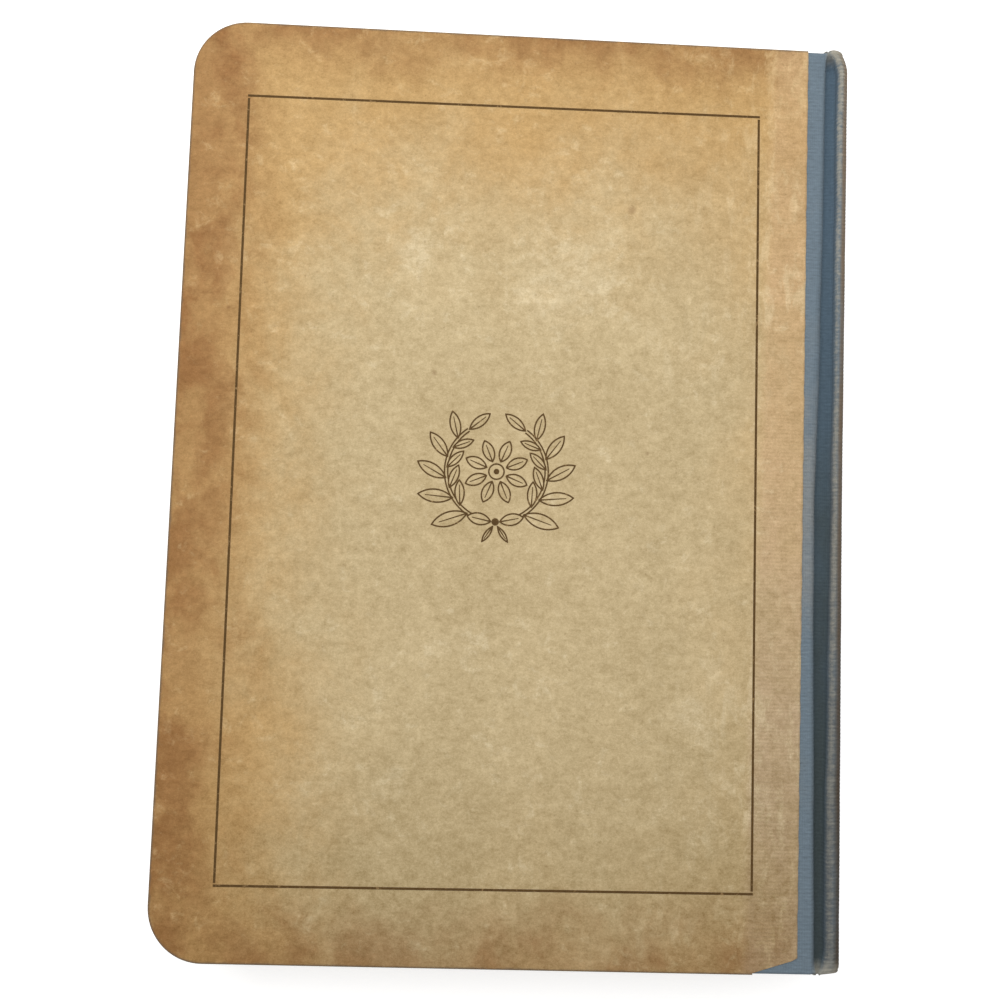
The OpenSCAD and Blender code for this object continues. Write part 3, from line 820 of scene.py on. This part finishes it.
def cloth_section(y):
    """The cloth's outer surface for each row, from the middle of the spine to its edge under the paper."""
    s = section_sizes(y)
    zero = 0 * s["edge"]
    room = FILLET_ROOM_SHARE * (s["ridge_in"] - s["edge"])
    fillet = np.minimum(np.minimum(GROOVE_FILLET, room), FILLET_DROP_SHARE * (s["crest"] - s["floor"]))
    foot = np.minimum(np.minimum(FOOT_FILLET, room), FOOT_RISE_SHARE * (board_out - s["floor"]))
    drop = s["crest"] - s["floor"] - fillet
    rise = board_out - s["floor"] - foot
    more = {stretch: count + 1 for stretch, count in COLUMNS.items()}
    parts = [
        arc(spine_x - spine_r + zero, zero, spine_r, 0, crest_angle, more["spine"])[:, :-1],
        arc(ridge_x + zero, s["crest"] - RIDGE_R, RIDGE_R, crest_angle, 90, more["outer"])[:, :-1],
        ellipse(ridge_x + zero, s["crest"] - drop, ridge_x - s["ridge_in"], drop, 90, 180, COLUMNS["wall"]),
        arc(s["ridge_in"] - fillet, s["floor"] + fillet, fillet, 0, -90, more["fillet"])[:, 1:],
    ]
    foot_arc = arc(s["edge"] + foot, s["floor"] + foot, foot, -90, -180, more["foot"])
    parts.append(steps_between(parts[-1][:, -1], foot_arc[:, 0], COLUMNS["floor"]))
    parts.append(foot_arc[:, 1:])
    edge_arc = ellipse(s["edge"] - s["bend"], board_out - rise, s["bend"], rise, 0, 90, more["edge"])
    parts.append(edge_arc[:, 1:])
    lap = np.concatenate([s["lap"], board_out + zero], axis=1)
    parts.append(steps_between(parts[-1][:, -1], lap, COLUMNS["top"]))
    points = np.concatenate(parts, axis=1)
    out = np.clip((points[..., 0] - s["ridge_in"]) / (ridge_x - s["ridge_in"]), 0, 1)
    points[..., 0] -= s["push"] * out * np.clip(points[..., 1] / crest_h, 0, 1) ** 4
    return points


def section_marks():
    """How far each column belongs to the ridge, the groove and the outside of the spine, from 0 to 1."""
    def ramp(stretch, start, stop):
        return np.linspace(start, stop, COLUMNS[stretch])

    ridge = {
        "outer": ramp("outer", 0, 0.4) ** 2,
        "wall": 0.3 + 0.7 * np.sin(ramp("wall", 0, 1.16 * math.pi)),
        "edge": 0.2 * np.sin(ramp("edge", 0.3, math.pi)),
    }
    groove = {
        "wall": ramp("wall", 0, 0.7) ** 2,
        "fillet": ramp("fillet", 0.8, 1),
        "floor": 1,
        # Less of the groove's darker colour at the foot: painted light where the board's wall shades the
        # groove.
        "foot": ramp("foot", 0.7, 0.35),
        "edge": ramp("edge", 0.25, 0),
    }
    outside = {"spine": 1, "outer": ramp("outer", 1, 0.8), "wall": ramp("wall", 0.65, -0.6).clip(0)}
    marks = []
    for mark in (ridge, groove, outside):
        marks.append(np.concatenate([np.zeros(count) + mark.get(key, 0) for key, count in COLUMNS.items()]))
    return np.stack(marks, axis=-1)


MARKS = section_marks()
ON_SPINE = np.clip(2 * MARKS[:, 2] - 1, 0, 1)


def moved_in(points, depth):
    """The section moved inwards by a depth, one for each column."""
    along = np.gradient(points, axis=1)
    along /= np.maximum(np.linalg.norm(along, axis=-1, keepdims=True), 1e-9)
    inward = np.stack([-along[..., 1], along[..., 0]], axis=-1)
    return points + inward * depth[None, :, None]


# %% [markdown]
# ## The cloth
#
# The cloth of a case is one strip. It is turned in round the card and the boards at the head and the
# tail, so there its edge is a fold. A fold between two layers is half of a flattened circle. The strip is
# made in two halves that meet along the middle of the spine.

# %% Cloth: sizes in millimetres
ROW_STEP = 0.2
FOLD_REACH = 0.55
FOLD_ROWS = 8
FOLD_SQUARENESS = 3.2
FLAP_L = 2.4
FLAP_ROWS = 5
SPINE_FLAP_DEPTH = 0.96
RIDGE_FLAP_DEPTH = 0.56
END_LIFT_W = 1.2
CAP_RISE = 0.5
TAIL_SHORT = 0.9
GROOVE_SHORT = 0.22


# %% Cloth: folds
def fold_curve(angle, squareness):
    """How far across and how far out a fold is at an angle, on a circle flattened towards a square."""
    curve = np.array([math.cos(angle), math.sin(angle)])
    return np.sign(curve) * np.abs(curve) ** (2 / squareness)


def fold_round(outer, inner, end, towards):
    """Rows of points that fold from the end of an outer layer round to an inner one.

    outer and inner are (columns, 2) arrays of x and height, end is each column's y at the fold's outside,
    and towards is 1 at the head and -1 at the tail.
    """
    middle = (outer + inner) / 2
    half = (outer - inner) / 2
    made = []
    for angle in np.linspace(0, math.pi, FOLD_ROWS + 1)[1:]:
        across, out = fold_curve(angle, FOLD_SQUARENESS)
        made.append(with_y(middle + half * across, towards * (end - FOLD_REACH + FOLD_REACH * out)))
    return made


def flap_layer(section):
    """Where the turned-in cloth lies, for one end's section."""
    inner = moved_in(section[None], RIDGE_FLAP_DEPTH + (SPINE_FLAP_DEPTH - RIDGE_FLAP_DEPTH) * ON_SPINE)[0]
    board_x = section[-ON_BOARD:, 0]
    foot = -ON_BOARD - 1
    inner[-ON_BOARD:, 0] = np.minimum(board_x, board_x.max() - CLOTH_T)
    inner[-ON_BOARD:, 1] = board_in
    inner[foot, 1] = (board_in + section[foot, 1] - RIDGE_FLAP_DEPTH) / 2
    return inner


# %% Cloth: the points of one half
def cloth_points():
    """The points of half of the cloth, with heights from the middle of the book."""
    reach_y = half_h - FOLD_REACH
    count = int(round(2 * reach_y / ROW_STEP))
    share = np.linspace(-1, 1, count + 1)
    section = cloth_section(share * reach_y)
    lift = np.clip((cloth_edge_x + END_LIFT_W / 2 - section[count // 2, :, 0]) / END_LIFT_W, 0, 1)
    over = np.clip((section[0, :, 0] - cloth_edge_x) / (spine_x - cloth_edge_x), 0, 1)
    high = np.clip(2 * section[0, :, 1] / crest_h - 1, 0, 1) ** 2
    flat = half_h - paper_t * lift - GROOVE_SHORT * MARKS[:, 1]
    ends = {1: flat + CAP_RISE * np.sin(math.pi * over) * high, -1: flat - TAIL_SHORT * over}
    upper = np.clip(share, 0, 1)[:, None] * (ends[1] - FOLD_REACH)
    lower = np.clip(share, -1, 0)[:, None] * (ends[-1] - FOLD_REACH)
    rows = [with_y(section, upper + lower)]
    for towards, row in ((1, -1), (-1, 0)):
        fold = fold_round(section[row], flap_layer(section[row]), ends[towards], towards)
        fold_y = fold[-1][:, 1]
        for back in np.linspace(0, FLAP_L, FLAP_ROWS + 1)[1:]:
            there = cloth_section(np.array([towards * (reach_y - back)]))[0]
            fold.append(with_y(flap_layer(there), fold_y - towards * back))
        fold = np.stack(fold)
        rows = rows + [fold] if towards > 0 else [fold[::-1]] + rows
    return np.concatenate(rows)


def flat_place(points):
    """Where each point lies on the flat strip: across it and along it, with its height on the book."""
    across = lengths(points[len(points) // 2])
    along = lengths(points[:, -1])
    along = along - along[-1] / 2
    return np.stack(np.broadcast_arrays(across[None, :], along[:, None], points[..., 2]), axis=-1)


# %% [markdown]
# ## Ribs
#
# The cloth is woven with thick threads that run across the spine. A tree of Geometry Nodes raises them on
# the plain sheet: it moves each point along its normal by a wave of its place along the strip. The ribs
# lie a little unevenly and are beaten flat in places, so noise shifts and fades the wave.


# %% Ribs: small helpers for Geometry Nodes
def new_tree(name, inputs):
    """A tree with a geometry and inputs as {name: (socket type, default)}, and a Wire for each of them."""
    tree = bpy.data.node_groups.new(name, "GeometryNodeTree")
    for way in ("INPUT", "OUTPUT"):
        tree.interface.new_socket("Geometry", in_out=way, socket_type="NodeSocketGeometry")
    for label, (kind, value) in inputs.items():
        tree.interface.new_socket(label, in_out="INPUT", socket_type=kind).default_value = value
    given = tree.nodes.new("NodeGroupInput")
    return tree, [Wire(tree, socket) for socket in given.outputs[:len(inputs) + 1]]


def finish_tree(tree, geometry, finish):
    """Ends a tree in Realize Instances and Set Material."""
    plain = add_node(tree, "GeometryNodeRealizeInstances", {"Geometry": geometry})
    done = add_node(tree, "GeometryNodeSetMaterial", {"Geometry": plain, "Material": finish})
    connect(done, tree.nodes.new("NodeGroupOutput").inputs[0])


def run_tree(piece, tree, values):
    """Runs a tree on a piece, with its inputs set by identifier, and keeps the result as a plain mesh."""
    modifier = piece.modifiers.new(tree.name, "NODES")
    modifier.node_group = tree
    for item in tree.interface.items_tree:
        if item.item_type == "SOCKET" and item.in_out == "INPUT" and item.name in values:
            modifier[item.identifier] = values[item.name]
    settle(piece)


# %% Ribs: the tree
RIB_DEPTH = 0.05
RIB_SEED = 4
RIB_SHIFT = 1.2
RIB_LEAST = 0.45
RIB_MORE = 0.9
SHIFT_NOISE_SCALE = 0.09
FADE_NOISE_SCALE = 0.6


def rib_tree(finish):
    tree, (geometry, pitch, depth, seed) = new_tree("cloth_ribs", {
        "Pitch": ("NodeSocketFloat", RIB_PITCH * MM),
        "Depth": ("NodeSocketFloat", RIB_DEPTH * MM),
        "Seed": ("NodeSocketInt", RIB_SEED),
    })

    def stored(name, data_type):
        return add_node(tree, "GeometryNodeInputNamedAttribute", {"Name": name}, data_type=data_type)

    def noise(scale):
        values = {"Vector": place, "W": seed * 1.7, "Scale": scale}
        return add_node(tree, "ShaderNodeTexNoise", values, noise_dimensions="4D")

    place = stored("flat_place", "FLOAT_VECTOR")
    along = place.parts()[1] * MM
    wave = ((along / pitch + noise(SHIFT_NOISE_SCALE) * RIB_SHIFT) * FULL_TURN).math("SINE")
    height = (wave * 0.5 - 0.5) * (RIB_LEAST + noise(FADE_NOISE_SCALE) * RIB_MORE)
    lift = height * depth * stored("ribbed", "FLOAT")
    move = add_node(tree, "GeometryNodeInputNormal").scaled(lift)
    moved = add_node(tree, "GeometryNodeSetPosition", {"Geometry": geometry, "Offset": move})
    kept = {"Geometry": moved, "Name": "rib", "Value": height}
    marked = add_node(tree, "GeometryNodeStoreNamedAttribute", kept, data_type="FLOAT", domain="POINT")
    finish_tree(tree, marked, finish)
    return tree


# %% Cloth: both halves
JOINT_OUTSET = 0.1
UNDER_PAPER_W = 2.0
HIDDEN_FLAT = 0.8
UNDER_PAPER_FLAT = 0.3
RIDGE_FLAT = 0.4


def bend_with_cover(piece, side_name, outset=0.0):
    """Bakes the piece's place into its mesh. Where one cover's joint runs, from the ridge's wall to the
    board's edge, is worked out, but the piece is not bent.

    The outset is not used.
    """
    height = (mid_z + (1 if side_name == "back" else -1) * groove_h) * MM
    start = ((ridge_x - RIDGE_R - JOINT_OUTSET - outset) * MM, 0, height)
    end = ((cloth_edge_x + JOINT_OUTSET - outset) * MM, 0, height)
    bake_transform(piece)


def make_cloth(side_name, side, finish):
    points = cloth_points()
    place = flat_place(points)
    zone = np.broadcast_to(MARKS[None], points.shape)
    hidden = np.zeros(points.shape[:2])
    ends = FOLD_ROWS + FLAP_ROWS
    hidden[:ends] = hidden[-ends:] = 1
    under_paper = np.clip((paper_edge_x - UNDER_PAPER_W / 2 - points[..., 0]) / UNDER_PAPER_W, 0, 1)
    ribbed = (1 - HIDDEN_FLAT * hidden) * (1 - UNDER_PAPER_FLAT * under_paper)
    ribbed = (ribbed * (1 - RIDGE_FLAT * zone[..., 0]))[..., None]
    faces = join_grid(*points.shape[:2], side > 0)
    mesh = new_mesh("cloth", to_side(points, side), faces, flat_place=place, zone=zone, ribbed=ribbed)
    piece = new_piece(f"{side_name}_cloth_half", mesh, finish)
    run_tree(piece, rib_tree(finish), {"Seed": RIB_SEED + side})
    give_thickness(piece, CLOTH_T)
    width = float(place[0, -1, 0])
    length = float(place[-1, -1, 1] - place[0, -1, 1])
    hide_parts("spine_cloth", f"{side_name}_cover_cloth")
    bend_with_cover(piece, side_name)
    print(f"{piece.name}: flat {width:.1f} x {length:.1f} mm, {triangles(piece)} triangles")


# %% [markdown]
# ## The mull, the card and the endpapers' folds
#
# Three more layers follow the cloth. The mull runs under the cloth from the sewn back over the
# shoulder to the board. The card behind the cloth has to give way where the corners of the spine are
# pushed in. The endpaper crosses the joint as one sheet, so a narrow strip of it lies between the
# flyleaf and the pasted half.

# %% Mull, card and endpaper folds
MULL_BACK_DEPTH = 1.18
MULL_T = 0.06
MULL_ROWS = 72
MULL_OUTSET = 0.12
MULL_COLUMNS = len(MARKS) - ON_BOARD - COLUMNS["foot"]
CARD_T = 0.4
CARD_GAP = 0.02
CARD_ROWS = 160
CARD_COLUMNS = COLUMNS["spine"] + 2
ENDPAPER_OUTSET = 0.3
FOLD_STRIP_T = 0.04
STRIP_ROWS = 60
STRIP_COLUMNS = 24
STRIP_LAP = 0.05
STRIP_ON_BOARD = 1.2
STRIP_STEP_W = 0.5
STRIP_STEP = (-0.03, 0.05)


def make_mull(side_name, side, finish):
    y = np.linspace(-mull_half_h, mull_half_h, MULL_ROWS)
    inner = moved_in(cloth_section(y), CLOTH_T + (MULL_BACK_DEPTH - CLOTH_T) * ON_SPINE)[:, :MULL_COLUMNS]
    points = with_y(inner, y[:, None])
    piece = thin_piece(f"{side_name}_mull_half", points, side, side > 0, MULL_T, finish)
    2 * mull_half_h * MM
    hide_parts("spine_mull")
    bend_with_cover(piece, side_name, MULL_OUTSET)


def make_card(finish):
    y = np.linspace(TAIL_SHORT - card_half_h, card_half_h, CARD_ROWS)
    half = moved_in(cloth_section(y), np.full(len(MARKS), CLOTH_T + CARD_GAP))[:, :CARD_COLUMNS]
    mirrored = half[:, :0:-1] * np.array([1, -1])
    points = with_y(np.concatenate([mirrored, half], axis=1), y[:, None])
    piece = thin_piece("spine_card_strip", points, 1, True, CARD_T, finish)
    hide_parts("spine_card")
    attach(piece, "pages_and_spine")


def make_endpaper_fold(side_name, side, finish):
    """The stretch of endpaper across one joint."""
    x = np.linspace(pages_end_x - STRIP_LAP, board_edge_x - STRIP_ON_BOARD, STRIP_COLUMNS)
    y = np.linspace(-pages_half_h, pages_half_h, STRIP_ROWS)
    step_x = [board_edge_x, board_edge_x + STRIP_STEP_W]
    height = fly_half + np.interp(x, step_x, STRIP_STEP)
    section = np.broadcast_to(np.stack([x, height], axis=-1), (STRIP_ROWS, STRIP_COLUMNS, 2))
    points = with_y(section, y[:, None])
    piece = thin_piece(f"{side_name}_endpaper_fold", points, side, side < 0, FOLD_STRIP_T, finish)
    bend_with_cover(piece, side_name, ENDPAPER_OUTSET)


# %% [markdown]
# ## The covering papers
#
# Each sheet lies flat on its board, wraps three edges and is turned in on the inside. Its flat part is a
# grid whose rows start on the rounded corners. Round its border the same fold is used as on the cloth. On
# the back cover the paper was cut on a slant at the tail, so the last rows end earlier there.

# %% Covering papers: sizes in millimetres
TURN_IN = 15.0
TURN_IN_ROWS = 4
PAPER_FOLD_REACH = 0.5
PAPER_FOLD_ROWS = 10
PAPER_SQUARENESS = 3.6
PAPER_COLUMNS = 36
CORNER_ROWS = 18
STRAIGHT_ROWS = 300
SLANT_W = 10.5
SLANT_H = 3.3
SAME_PLACE = 1e-7
corner_x = fore_x + CORNER_R
corner_y = half_h - CORNER_R


# %% Covering papers: the flat part
def paper_rows():
    """The height of each row, and where it starts at the fore-edge."""
    inset_r = CORNER_R - PAPER_FOLD_REACH
    turn = np.linspace(0, math.pi / 2, CORNER_ROWS + 1)
    round_y = corner_y + inset_r * np.sin(turn)
    round_x = corner_x - inset_r * np.cos(turn)
    middle = np.linspace(-corner_y, corner_y, STRAIGHT_ROWS + 1)[1:-1]
    y = np.concatenate([-round_y[::-1], middle, round_y])
    start = np.concatenate([round_x[::-1], np.full(len(middle), fore_x + PAPER_FOLD_REACH), round_x])
    return y, start


def paper_end(y, slanted):
    """Where each row ends beside the cloth."""
    edge = paper_edge_x + waver(y, *PAPER_EDGE_WAVE)
    if slanted:
        edge = edge - SLANT_W * np.clip((SLANT_H - half_h - y) / SLANT_H, 0, 1)
    return edge


# %% Covering papers: the fold and the turn-in
def border_normals(at):
    """Which way the border faces: outwards from the corners' centres, or straight out."""
    past_y = at[:, 1] - np.clip(at[:, 1], -corner_y, corner_y)
    away = np.stack([np.minimum(at[:, 0] - corner_x, 0), past_y], axis=-1)
    return away / np.linalg.norm(away, axis=-1, keepdims=True)


def at_height(flat, height):
    return np.concatenate([flat, np.full((len(flat), 1), height)], axis=-1)


def border_rings(at):
    """Rows of points round the border: over the fold, then inwards to the edge of the turn-in."""
    flat = at[:, :2]
    outward = border_normals(at)
    middle, half = (mid_z + paper_in) / 2, (mid_z - paper_in) / 2
    rings = []
    for angle in np.linspace(0, math.pi, PAPER_FOLD_ROWS + 1)[1:]:
        across, out = fold_curve(angle, PAPER_SQUARENESS)
        rings.append(at_height(flat + outward * (PAPER_FOLD_REACH * out), middle + half * across))
    window_h = half_h - TURN_IN
    inside_x = np.maximum(at[:, 0], fore_x + TURN_IN)
    target = np.stack([inside_x, np.clip(at[:, 1], -window_h, window_h)], axis=-1)
    for share in np.linspace(0, 1, TURN_IN_ROWS + 1)[1:]:
        rings.append(at_height(flat + (target - flat) * share, paper_in))
    return rings


# %% Covering papers: the whole sheet
def paper_points(slanted):
    """The points of one covering paper, with heights from the middle of the book, and its faces."""
    y, start = paper_rows()
    end = paper_end(y, slanted)
    x = start[:, None] + (end - start)[:, None] * np.linspace(0, 1, PAPER_COLUMNS)[None, :]
    top = with_y(np.stack([x, np.full(x.shape, mid_z)], axis=-1), y[:, None]).reshape(-1, 3)
    index = np.arange(x.size).reshape(x.shape)
    border = np.concatenate([index[0, ::-1], index[1:-1, 0], index[-1]])
    rings = border_rings(top[border])
    faces = [join_grid(*x.shape)]
    last = border
    for k in range(len(rings)):
        now = x.size + k * len(border) + np.arange(len(border))
        faces.append(np.stack([last[:-1], last[1:], now[1:], now[:-1]], axis=-1))
        last = now
    return np.concatenate([top] + rings), np.concatenate(faces)


def make_paper(side_name, side, finish):
    points, faces = paper_points(slanted=side > 0)
    mesh = new_mesh("paper", to_side(points, side), faces if side > 0 else faces[:, ::-1])
    shell = bmesh.new()
    shell.from_mesh(mesh)
    bmesh.ops.remove_doubles(shell, verts=shell.verts, dist=SAME_PLACE)
    bmesh.ops.dissolve_degenerate(shell, edges=shell.edges, dist=SAME_PLACE)
    shell.to_mesh(mesh)
    shell.free()
    piece = new_piece(f"{side_name}_paper_sheet", mesh, finish)
    give_thickness(piece, paper_t)
    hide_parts(f"{side_name}_cover_paper")
    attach(piece, f"{side_name}_cover")
    print(f"{piece.name}: {triangles(piece)} triangles")


# %% [markdown]
# ## The leaves
#
# The pages are sewn in sections, and their edges never line up perfectly. One leaf is modelled as a thin
# closed sheet with few faces. Geometry Nodes repeat it up the thickness of the book, shift each leaf and
# each section a little, hollow the fore-edge, and fan the leaves into the shoulders at the back.

# %% Leaves: one leaf
SECTIONS = 12
LEAVES_PER_SECTION = 12
LEAF_GAP_SHARE = 0.2
LEAF_CORNER_R = 8.0
LEAF_CORNER_POINTS = 6
LEAF_MIDDLE = [30.0, 60.0, 100.0]
FAN_POINTS = 7
FAN_MARGIN = 1.0
BACK_DEPTH = 1.7
FLARE_FROM_X = 65.2
FLARE_TO_X = 66.8
leaf_count = SECTIONS * LEAVES_PER_SECTION
leaf_pitch = 2 * pages_half / leaf_count
back_x = spine_x - BACK_DEPTH
fore_hollow = spine_r - math.sqrt(spine_r**2 - pages_half**2)


def leaf_mesh():
    """One closed leaf at height 0, with its thickness below it."""
    turn = np.linspace(0, math.pi / 2, LEAF_CORNER_POINTS)
    corner = LEAF_CORNER_R * (1 - np.cos(turn))
    fan = np.linspace(FLARE_FROM_X - FAN_MARGIN, back_x, FAN_POINTS)
    x = np.concatenate([pages_fore_x + corner, pages_fore_x + np.array(LEAF_MIDDLE), fan])
    y = np.full(len(x), pages_half_h)
    y[:LEAF_CORNER_POINTS] += LEAF_CORNER_R * (np.sin(turn) - 1)
    depth = leaf_pitch * (1 - LEAF_GAP_SHARE)
    points = np.array([[[[px, s * py, h] for px, py in zip(x, y)] for s in (-1, 1)] for h in (0, -depth)])
    top, under = np.arange(4 * len(x)).reshape(2, 2, len(x))
    faces = []
    for k in range(len(x) - 1):
        faces.append([top[0, k], top[0, k + 1], top[1, k + 1], top[1, k]])
        faces.append([under[0, k], under[1, k], under[1, k + 1], under[0, k + 1]])
        faces.append([under[0, k], under[0, k + 1], top[0, k + 1], top[0, k]])
        faces.append([top[1, k], top[1, k + 1], under[1, k + 1], under[1, k]])
    for k, turned in ((0, 1), (len(x) - 1, -1)):
        faces.append([top[0, k], top[1, k], under[1, k], under[0, k]][::turned])
    mesh = new_mesh("leaf", points, np.array(faces))
    mesh.shade_flat()
    return mesh


# %% Leaves: repeated by Geometry Nodes
LEAF_JITTER = 0.09
SECTION_JITTER = 0.16
LEAF_SEED = 21
FLARE = 0.12


def leaves_tree(finish):
    tree, (leaf, count, pitch, leaf_jitter, section_jitter, hollow, flare, seed) = new_tree("sewn_leaves", {
        "Count": ("NodeSocketInt", leaf_count),
        "Pitch": ("NodeSocketFloat", leaf_pitch * MM),
        "Leaf jitter": ("NodeSocketFloat", LEAF_JITTER * MM),
        "Section jitter": ("NodeSocketFloat", SECTION_JITTER * MM),
        "Hollow": ("NodeSocketFloat", fore_hollow * MM),
        "Flare": ("NodeSocketFloat", FLARE),
        "Seed": ("NodeSocketInt", LEAF_SEED),
    })

    def jitter(number, seed, size):
        values = {0: (-1, -1, 0), 1: (1, 1, 0), "ID": number, "Seed": seed}
        return add_node(tree, "FunctionNodeRandomValue", values, data_type="FLOAT_VECTOR").scaled(size)

    rise = add_node(tree, "ShaderNodeCombineXYZ", {2: pitch})
    first = (0, 0, (mid_z - pages_half + leaf_pitch) * MM)
    line = add_node(tree, "GeometryNodeMeshLine", {"Count": count, "Start Location": first, "Offset": rise})
    number = add_node(tree, "GeometryNodeInputIndex")
    section = (number / LEAVES_PER_SECTION).math("FLOOR")
    each = jitter(number, seed, leaf_jitter)
    shift = each.vector_math("ADD", {1: jitter(section, seed + 1, section_jitter)})
    shifted = add_node(tree, "GeometryNodeSetPosition", {"Geometry": line, "Offset": shift})
    placed = add_node(tree, "GeometryNodeInstanceOnPoints", {"Points": shifted, "Instance": leaf})
    real = add_node(tree, "GeometryNodeRealizeInstances", {"Geometry": placed})
    x, y, z = add_node(tree, "GeometryNodeInputPosition").parts()
    height = z - mid_z * MM
    share = height / (pages_half * MM)
    move_x = hollow * (1 - share * share)
    move_z = x.step(FLARE_FROM_X * MM, FLARE_TO_X * MM) * height * flare
    move = add_node(tree, "ShaderNodeCombineXYZ", {0: move_x, 2: move_z})
    fanned = add_node(tree, "GeometryNodeSetPosition", {"Geometry": real, "Offset": move})
    finish_tree(tree, fanned, finish)
    return tree


def make_leaves(finish):
    piece = new_piece("leaves", leaf_mesh(), finish)
    run_tree(piece, leaves_tree(finish), {"Seed": LEAF_SEED})
    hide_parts("text_block")
    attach(piece, "pages_and_spine")
    print(f"{piece.name}: {leaf_count} leaves, {triangles(piece)} triangles")


# %% [markdown]
# ## Dressing the book
#
# All is ready now. The pieces are made side by side, and every piece that keeps its shape from the frame
# gets the finish of its own material slot.

# %% Make the pieces
for side_name, side in {"back": 1, "front": -1}.items():
    make_cloth(side_name, side, finishes["cloth"])
    make_mull(side_name, side, finishes["mull"])
    make_endpaper_fold(side_name, side, finishes["endpaper"])
    make_paper(side_name, side, finishes["cover_paper"])
make_card(finishes["board"])
make_leaves(finishes["pages"])

# %% Finish the nodes of the frame
slot_of = {row["node"]: row["material_slot"] for row in frame["record"]["subparts"]}
for name, node in nodes.items():
    node.data.materials.clear()
    node.data.materials.append(finishes[slot_of[name]])


# %% [markdown]
# ## Floor and light
#
# The floor is nearly white and gives off a little light of its own, for the camera and for reflections
# only. It looks like a white backdrop that way and still shows a soft shadow under the book. Two broad
# lamps stand beyond the head of the book. The nearer one is a little to the side of the fore-edge, so
# that the ribs and the groove show. A pale world fills the shadows.

# %% Floor
FLOOR_SIZE = 3.0
FLOOR_COLOUR = (0.88, 0.88, 0.88, 1)
FLOOR_GLOW = 0.62


def make_floor():
    half = FLOOR_SIZE / 2
    corners = [(-half, -half, 0), (half, -half, 0), (half, half, 0), (-half, half, 0)]
    mesh = bpy.data.meshes.new("floor")
    mesh.from_pydata(corners, [], [(0, 1, 2, 3)])
    f = Finish("pale_floor", FLOOR_COLOUR)
    seen = f.node("ShaderNodeLightPath", out="Is Camera Ray")
    mirrored = f.node("ShaderNodeLightPath", out="Is Glossy Ray")
    glow = (seen + mirrored).math("MINIMUM", 1) * FLOOR_GLOW
    grey = f.node("ShaderNodeCombineColor", {0: glow, 1: glow, 2: glow})
    connect(grey, f.shader.inputs["Emission Color"])
    f.shader.inputs["Emission Strength"].default_value = 1.0
    new_piece("floor", mesh, f.finish(0.9, specular=0.5))


make_floor()

# %% Lamps and world
WORLD_STRENGTH = 0.30
# Each lamp is a place and a size in metres, and its watts.
LAMPS = {
    "window": ((-0.12, 0.20, 0.42), 0.36, 1.48),
    "fill": ((0.34, 0.36, 0.66), 0.80, 1.4),
}


def add_lamp(name, place, size, watts):
    """A square lamp that shines on the middle of the book."""
    data = bpy.data.lights.new(name, "AREA")
    data.shape = "SQUARE"
    data.size = size
    data.energy = watts
    lamp = bpy.data.objects.new(name, data)
    place = Vector(place)
    lamp.matrix_world = Matrix.Translation(place) @ place.to_track_quat("Z", "Y").to_matrix().to_4x4()
    bpy.context.scene.collection.objects.link(lamp)


def set_world():
    """A white world for the camera, which is weaker as a light."""
    world = bpy.data.worlds.new("studio")
    world.use_nodes = True
    bpy.context.scene.world = world
    shader = world.node_tree.nodes["Background"]
    seen = add_node(world.node_tree, "ShaderNodeLightPath", out="Is Camera Ray")
    connect(seen * (1 - WORLD_STRENGTH) + WORLD_STRENGTH, shader.inputs["Strength"])
    shader.inputs["Color"].default_value = (1, 1, 1, 1)


for name, (place, size, watts) in LAMPS.items():
    add_lamp(name, place, size, watts)
set_world()
bpy.context.scene.view_settings.view_transform = "Standard"
